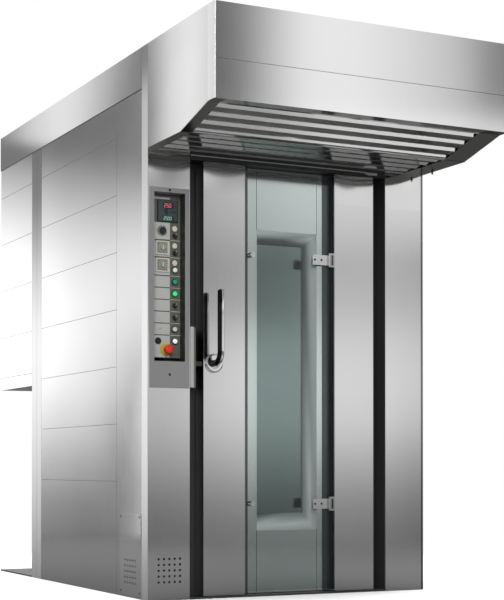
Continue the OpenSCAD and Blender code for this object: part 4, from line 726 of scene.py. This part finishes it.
body = Bench().slab((64, 160), (42.6, 50), (1643, 1739))
body.done("controller_case", "cabinet", "black_plastic", "slate_rim", 1.2,
          ["temperature_controller"])
face = Bench().slab((68, 157), (42.1, 42.7), (1647, 1736))
face.done("controller_face", "cabinet", "black_plastic", "slate_face", 0.5)
WINDOW_Y, FIGURE_Y, KEY_Y = (41.8, 42.2), (41.5, 41.8), (41.6, 42.2)
windows = Bench()
for window_z in ((1702, 1729), (1649, 1669)):
    windows.slab((88, 140), WINDOW_Y, window_z)
half_turn = [math.pi * i / 12 for i in range(13)]
windows.cut([(112 - 16 * math.sin(t), 1689 + 15 * math.cos(t)) for t in half_turn], WINDOW_Y)
windows.done("controller_windows", "cabinet", "black_plastic", "black_plastic", 0.2)
hot = Bench()
figures(hot, RED_NUMBER, 95, 1707, 16, FIGURE_Y)
hot.done("red_figures", "cabinet", "red_plastic", "red_figures")
wanted = Bench()
figures(wanted, GREEN_NUMBER, 93, 1652, 13.5, FIGURE_Y)
wanted.done("green_figures", "cabinet", "green_plastic", "green_figures")
keys = Bench()
for i in range(3):
    keys.slab((124 + 10 * i, 131 + 10 * i), KEY_Y, (1684, 1690))
keys.slab((146, 151), KEY_Y, (1712, 1718))
keys.done("controller_keys", "cabinet", "grey_plastic", "slate_rim", 0.4)
print("controller figures:", RED_NUMBER, GREEN_NUMBER)

# %% [markdown]
# Under the controller sits the main dial: a grey skirt with a black grip, fluted so that a
# floury hand can turn it. A ring of short strokes stands round it on the label.

# %% Main dial
LEFT_X, RIGHT_X = 87.5, 147.5
DIAL_Z = 1605
keep(moulded, "skirt_grey", (0.13, 0.14, 0.11), 0.42)
keep(moulded, "print_ink", (0.05, 0.05, 0.05), 0.5)


def fluted(bench, x, z, near, far_y, radius, lobes, depth=0.9):
    """A grip with flutes round its edge, from far_y (at the plate) out to near."""
    steps = lobes * 6
    ring = [(radius - depth * (0.5 + 0.5 * math.cos(lobes * t)), t)
            for t in [2 * math.pi * i / steps for i in range(steps)]]
    bench.cut([(x + r * math.cos(t), z + r * math.sin(t)) for r, t in ring], (near, far_y))


def stroke(bench, x, z, turn, near, reach, half, depth):
    """A short printed line of a dial's scale, pointing at the dial's middle."""
    out = Vector((math.cos(turn), math.sin(turn)))
    side = Vector((-math.sin(turn), math.cos(turn))) * half
    a, b = out * near, out * reach
    bench.cut([(x + p.x, z + p.y) for p in (a + side, b + side, b - side, a - side)], depth)


skirt = Bench().turned((LEFT_X, PLATE_Y, DIAL_Z), FRONT, [
    (-7, 4), (0.5, 4), (0.5, 22.6), (1.2, 23), (3.2, 22.4), (4.5, 20), (4.5, 4)])
skirt.done("main_dial_skirt", "knob", "black_plastic", "skirt_grey", 0.0, ["main_knob"])
cap_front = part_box("main_knob")[0].y * 1000 + MID_Y
grip = Bench()
fluted(grip, LEFT_X, DIAL_Z, cap_front + 0.6, PLATE_Y - 4.4, 14.6, 18)
grip.turned((LEFT_X, cap_front + 0.6, DIAL_Z), FRONT, [
    (-0.2, 12.6), (0.4, 12.2), (0.6, 11), (0.6, 0)])
grip.done("main_dial_grip", "knob", "black_plastic", None, 0.35)
pointer = Bench().slab((LEFT_X - 0.8, LEFT_X + 0.8), (PLATE_Y - 4.7, PLATE_Y - 4.3),
                       (DIAL_Z + 14.8, DIAL_Z + 21))
pointer.done("main_dial_pointer", "knob", "white_plastic")
strokes = Bench()
for i in range(25):
    stroke(strokes, LEFT_X, DIAL_Z, math.radians(-135 + 270 * i / 24 + 90), 25.5,
           30.5 if i % 4 == 0 else 28.0, 0.35, (PLATE_Y - 1.02, PLATE_Y - 0.9))
strokes.done("main_dial_strokes", "cabinet", "black_plastic", "print_ink")
print("grip front at", round(cap_front, 1), "mm")

# %% [markdown]
# The two timers are square: a pale frame, an olive face and a round dial with a raised rim. A
# pointer and thirty strokes show the minutes.

# %% Timers
keep(moulded, "timer_frame", (0.42, 0.42, 0.38), 0.38)
keep(moulded, "timer_face", (0.17, 0.17, 0.135), 0.42)
keep(moulded, "timer_dial", (0.22, 0.22, 0.20), 0.36)
OUTER, INNER, TIMER_Y = 30, 24.5, 45
TIMERS = {"upper": 1530, "lower": 1455}
frames, faces, minutes = Bench(), Bench(), Bench()
for name, z in TIMERS.items():
    for x in ((LEFT_X - OUTER, LEFT_X - INNER), (LEFT_X + INNER, LEFT_X + OUTER)):
        frames.slab(x, (43.6, LABEL_Y[0]), (z - OUTER, z + OUTER))
    for level_z in ((z - OUTER, z - INNER), (z + INNER, z + OUTER)):
        frames.slab((LEFT_X - OUTER, LEFT_X + OUTER), (43.5, LABEL_Y[0]), level_z)
    faces.slab((LEFT_X - 24.4, LEFT_X + 24.4), (44.5, 45.2), (z - 24.4, z + 24.4))
    for k in range(30):
        stroke(minutes, LEFT_X, z, math.radians(12 * k), 20.2, 23.6 if k % 5 == 0 else 22.2, 0.3,
               (44.3, 44.5))
    dial = Bench().turned((LEFT_X, TIMER_Y, z), FRONT, [
        (-12, 4), (0.5, 4), (0.5, 18.6), (1.5, 19), (3, 18.6), (3.6, 17.6), (3.2, 16.4),
        (3.2, 12.2), (4.4, 11.4), (9.6, 10.6), (10.4, 9.8), (10.5, 0)])
    dial.done(name + "_timer_dial", name + "_timer", "black_plastic", "timer_dial", 0.0,
              ["timer_dial_" + name])
    tick = Bench().slab((LEFT_X - 0.7, LEFT_X + 0.7), (TIMER_Y - 3.5, TIMER_Y - 3.1),
                        (z + 12.5, z + 16.2))
    tick.slab((LEFT_X - 0.8, LEFT_X + 0.8), (TIMER_Y - 10.8, TIMER_Y - 10.4), (z - 9.4, z + 9.4))
    tick.done(name + "_timer_pointer", name + "_timer", "white_plastic")
frames.done("timer_frames", "cabinet", "panel_plastic", "timer_frame", 0.5)
faces.done("timer_faces", "cabinet", "panel_plastic", "timer_face", 0.3)
minutes.done("timer_minutes", "cabinet", "white_plastic", "timer_frame")
print("heights of the timers:", TIMERS)

# %% [markdown]
# A signal lamp is a ribbed lens in a thin ring. The selectors are black: a round foot and a bar
# to grip, with a white line that shows where it points. Push buttons have a domed cap that
# sinks into a black collar.

# %% Lamps, selectors and push buttons
rings = Bench()
lenses = Bench()
for z in (1616, 1541, 1466):
    rings.turned((RIGHT_X, PLATE_Y, z), FRONT, [
        (0, 13.4), (3.2, 13.4), (3.9, 12.9), (3.9, 11.8), (0, 11.8)])
    lenses.turned((RIGHT_X, PLATE_Y, z), FRONT, [
        (0, 11.7), (3.6, 11.7), (4.4, 11), (4.2, 10.2), (4.7, 9.4), (4.5, 8.4),
        (4.9, 7.4), (4.7, 6.2), (5.0, 5), (4.8, 3.6), (5.0, 2), (5.0, 0)])
rings.done("lamp_rings", "cabinet", "chrome")
lenses.done("lamp_lenses", "cabinet", "lamp_plastic", None, 0.0, ["indicator_lamps"])
for i, z in enumerate((1585, 1510, 1279.6, 1227.8), 1):
    foot = Bench().turned((RIGHT_X, PLATE_Y, z), FRONT, [
        (-7, 4), (0.5, 4), (0.5, 10.8), (1.2, 11), (5.4, 10.6), (6.4, 10), (6.4, 0)])
    foot.cut([(RIGHT_X - 4.4, z - 9.4), (RIGHT_X - 2.2, z + 9.8), (RIGHT_X + 2.2, z + 9.8),
              (RIGHT_X + 4.4, z - 9.4)], (PLATE_Y - 16.4, PLATE_Y - 5.5))
    foot.done("selector_%d_grip" % i, "switch_%d" % i, "black_plastic", None, 0.5,
              ["selector_%d" % i])
    line = Bench().slab((RIGHT_X - 0.8, RIGHT_X + 0.8), (PLATE_Y - 16.6, PLATE_Y - 16.3),
                        (z + 1, z + 9))
    line.done("selector_%d_line" % i, "switch_%d" % i, "white_plastic")
collars = Bench()
caps = ["white_plastic", "teal_plastic", "green_plastic", "grey_plastic", "lit_white"]
keep(moulded, "lit_white", (0.74, 0.82, 0.80), 0.25, 0.04, 0.12)
for i, (z, tone) in enumerate(zip((1435, 1383.2, 1331.4, 1176, 1124.2), caps), 1):
    collars.turned((RIGHT_X, PLATE_Y, z), FRONT, [
        (0, 14.4), (3.4, 14.4), (4.6, 13.6), (4.8, 12.4), (4.2, 11.4), (0, 11.4)])
    cap = Bench().turned((RIGHT_X, PLATE_Y, z), FRONT, [
        (-7, 10.4), (0, 10.9), (7.6, 10.9), (9.2, 10.3), (10.2, 8.8), (10.8, 6), (11, 3), (11, 0)])
    slot_name = "white_plastic" if tone == "lit_white" else tone
    cap.done("cap_%d" % i, "push_%d" % i, slot_name, tone, 0.0, ["button_%d" % i], 60)
collars.done("button_collars", "cabinet", "black_plastic")
print("lamps 3, selectors 4, caps", len(caps))

# %% [markdown]
# The emergency stop is a red mushroom on a yellow plate, big enough for an elbow. Next to it a
# small black buzzer calls when the bread is done.

# %% Emergency stop and buzzer
keep(moulded, "yellow_plastic", (0.40, 0.32, 0.03), 0.4)
STOP = (107.5, PLATE_Y, 1087)
ring = Bench().turned(STOP, FRONT, [(0, 28.2), (3.2, 28.2), (4.0, 27.2), (4.0, 13), (0, 13)])
ring.done("stop_plate", "cabinet", "red_plastic", "yellow_plastic")
STOP_OUT = 40
stop = Bench().turned(STOP, FRONT, [
    (-8, 11.6), (2, 11.6), (12, 11.2), (24, 12), (26.2, 17), (27.2, 19.4), (29, 20), (32, 19.8),
    (35.5, 18.2), (38, 14.5), (39.4, 9), (STOP_OUT, 4), (STOP_OUT, 0)], 56)
stop.done("stop_head", "stop_push", "red_plastic", None, 0.0, ["stop_button"], 50)
arrows = Bench()
for start in (20, 140, 260):
    arc_sign(arrows, STOP[0], STOP[2], 12.5, start, start + 70, 1.2, 8,
             (PLATE_Y - 39.1, PLATE_Y - 38.2))
keep(moulded, "stop_marks", (0.34, 0.05, 0.045), 0.4)
arrows.done("stop_turn_marks", "stop_push", "red_plastic", "stop_marks")
BUZZER = (69.5, PLATE_Y, 1124.2)
call = Bench().turned(BUZZER, FRONT, [
    (0, 15), (1.8, 15), (2.4, 14.2), (2.4, 12), (6.2, 11.8), (6.8, 11), (6.8, 9.4), (6.2, 9),
    (6.2, 7.6), (6.8, 7.2), (6.8, 5.4), (6.2, 5), (6.2, 3.4), (6.8, 3), (6.8, 0)])
call.done("buzzer", "cabinet", "black_plastic")
print("stop head stands", STOP_OUT, "mm out")

# %% [markdown]
# Screws hold the bezel and the vent cover. A turned head with a hollow in its middle reads as a
# screw even when it is small. The right wall of the control recess gets a thin black sheet, a
# painted shade for the shadow in the recess.

# %% Screw heads
keep(painted, "dark_screw", (0.03, 0.03, 0.03), 0.4, 0.1, 0.6)


def screw_head(bench, spot_at, axis, radius, high=2.0):
    """A pan head with a round socket."""
    bench.turned(spot_at, axis, [
        (0, radius), (high * 0.5, radius), (high * 0.85, radius * 0.86), (high, radius * 0.6),
        (high, radius * 0.46), (high * 0.35, radius * 0.42), (high * 0.35, 0)], 24)


# A thin black sheet on the recess's right wall is a painted shade.
recess_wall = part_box("control_plate")[1].x * 1000 + MID_X
shade_sheet = Bench().slab((recess_wall - 0.7, recess_wall - 0.1), (-2.6, 49.5), (1034, 1763))
shade_sheet.done("recess_shade_sheet", "cabinet", "black_plastic")
bezel_screws = Bench()
for z in (975, 1774):
    screw_head(bezel_screws, (102, -3, z), FRONT, 5.5)
bezel_screws.done("bezel_screws", "cabinet", "chrome", "dark_screw", 0.0, ["panel_screws"])
cover_lo, cover_hi = (v * 1000 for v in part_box("side_vent_cover"))
cover_screws = Bench()
for y in (cover_lo.y + MID_Y + 14, cover_hi.y + MID_Y - 14):
    for z in (cover_lo.z + 14, cover_hi.z - 14):
        screw_head(cover_screws, (cover_lo.x + MID_X, y, z), LEFT, 5.0, 1.0)
cover_screws.done("cover_screws", "cabinet", "chrome", "dark_screw")
print("vent cover from", [round(v) for v in cover_lo], "to", [round(v) for v in cover_hi])

# %% [markdown]
# ## The door
#
# The window lies in a deep frame. Its sheet slopes in on all four sides, so that the foot of
# the window shows a bright sill and the head a shaded lintel. Four sloping sheets between a
# front ring and a back ring make it.

# %% Window frame
keep(painted, "sill_steel", (0.52, 0.53, 0.53), 0.40, 0.05, 0.25)
FRAME_FRONT, FRAME_BACK = 52.4, 126.5
outer_ring = [(550.4, 290.4), (856.6, 290.4), (856.6, 1639.6), (550.4, 1639.6)]
inner_ring = [(584, 366), (823, 366), (823, 1588), (584, 1588)]
sheet = Bench()
fronts = [sheet.mesh.verts.new(at(x, FRAME_FRONT, z)) for x, z in outer_ring]
backs = [sheet.mesh.verts.new(at(x, FRAME_BACK, z)) for x, z in inner_ring]
for i in range(4):
    j = (i + 1) % 4
    sheet.mesh.faces.new([fronts[i], fronts[j], backs[j], backs[i]])
reveal = sheet.done("window_frame", "door", "satin_steel", "sill_steel", 0.0, (), 20)
thick = reveal.modifiers.new("sheet", "SOLIDIFY")
thick.thickness, thick.offset = 0.0012, 0.0
print("window frame depth:", round(FRAME_BACK - FRAME_FRONT), "mm")

# %% [markdown]
# Thin dark joints run up the door beside the window, and black gasket strips fill the steps
# beside the stiles. Over the leaf the black header carries a bright strip that ends at the upper
# pivot's plate, and a peg hangs under the hood.

# %% Joints, header strip and pivot plate
keep(painted, "dark_joint", (0.02, 0.02, 0.022), 0.5)
joints = Bench()
for x in (549, 857):
    for low, high in ((16, 290), (1640, 1912)):
        joints.slab((x - 0.9, x + 0.9), (51.5, 52.2), (low, high))
LEAF_Z = (13, 1914)
joints.slab((490.5, 501), (44.5, 51.9), LEAF_Z).slab((885, 921.6), (50.6, 51.9), LEAF_Z)
leaf_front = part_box("door_stiles")[0].y * 1000 + MID_Y
joints.slab((465.8, 469.8), (leaf_front - 0.4, leaf_front - 0.05), LEAF_Z)
joints.done("core_joints", "door", "black_frame", "dark_joint")
STRIP_Z = (1934.5, 1938.5)
strip_bar = Bench().slab((203, 1092), (-1.6, -0.1), STRIP_Z)
strip_bar.done("header_strip", "cabinet", "bright_steel", "sill_steel", 0.4)
pivot_plate = Bench().cut([(1060, 1937), (1148, 1937), (1148, 1926), (1100, 1926)], (-3.2, -0.2))
pivot_plate.done("pivot_plate", "cabinet", "bright_steel", None, 0.5)
peg = Bench().turned((1393, -92, 1950), DOWN, [
    (0.1, 5), (2, 5), (3, 4), (11, 4), (12, 3), (12, 0)], 20)
peg.done("hood_peg", "cabinet", "black_frame")
print("heights of the header strip:", STRIP_Z)

# %% [markdown]
# The handle is one chromed tube: out of its rosette, round a bend, and straight up. A ring is
# carried along that path, turning with it, and the end is closed with a low dome.

# %% Handle
HANDLE = Vector((313, 0, 1030))


def tube(bench, path, radius, steps=32):
    """A round tube along a path, with a dome on its far end."""
    last = len(path) - 1
    heads = [(path[min(i + 1, last)] - path[max(i - 1, 0)]).normalized() for i in range(last + 1)]
    sizes = [radius] * (last + 1)
    for share in (0.97, 0.90, 0.76, 0.5, 0.2):
        path, heads = path + [path[-1] + heads[-1] * radius * 0.12], heads + [heads[-1]]
        sizes.append(radius * share)
    side = Vector((1, 0, 0))
    bench.wrap([bench.ring(spot_at, side, head.cross(side), size, steps)
                for spot_at, head, size in zip(path, heads, sizes)], steps)


TUBE_RADIUS, BEND = 15, 50
quarter = [math.radians(6 * i) for i in range(16)]
bend = [(-25 - BEND * math.sin(t), BEND - BEND * math.cos(t)) for t in quarter]
path = [(0, 0), (-12, 0)] + bend + [(-75, 120), (-75, 200), (-75, 310)]
route = [HANDLE + Vector((0, y, z)) for y, z in path]
lever = Bench()
tube(lever, route, TUBE_RADIUS)
spindle_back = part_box("handle_lever")[1].y * 1000 + MID_Y
lever.turned(HANDLE, FRONT, [(-spindle_back, 8), (0, 8)], 24)
# The tube's left-facing side turns near black by its slope: a painted shade on the chrome.
keep(steel, "lever_chrome", 0.90, 0.06, "z", 0.02, dull=(0.02, 0.02, 0.02),
     shade=(-0.05, -0.25))
lever.done("handle_tube", "handle", "chrome", "lever_chrome", 0.0, ["handle_lever"], 60)
rose = Bench().turned(HANDLE, FRONT, [
    (0, 15.4), (0, 42), (5.5, 42), (8.2, 40.8), (9.7, 38), (10, 34), (9.2, 20), (9.2, 15.4)], 64)
rose.done("handle_rose", "door", "chrome", None, 0.0, ["handle_rosette"], 50)
print("handle from", round(spindle_back), "mm behind the sheet to", round(route[-1].z), "mm up")

# %% [markdown]
# Glass can't be welded, so the outer pane hangs on two clamp plates. Each has a cover with a
# broken edge and two socket screws.

# %% Screws of the glass clamps
clamp_screws = Bench()
for z in (408, 1522):
    for x in (838, 872):
        screw_head(clamp_screws, (x, 32, z), FRONT, 5.0, 1.4)
clamp_screws.done("clamp_screws", "glass_panel", "chrome", "dark_screw")
print("clamp screws: 4")
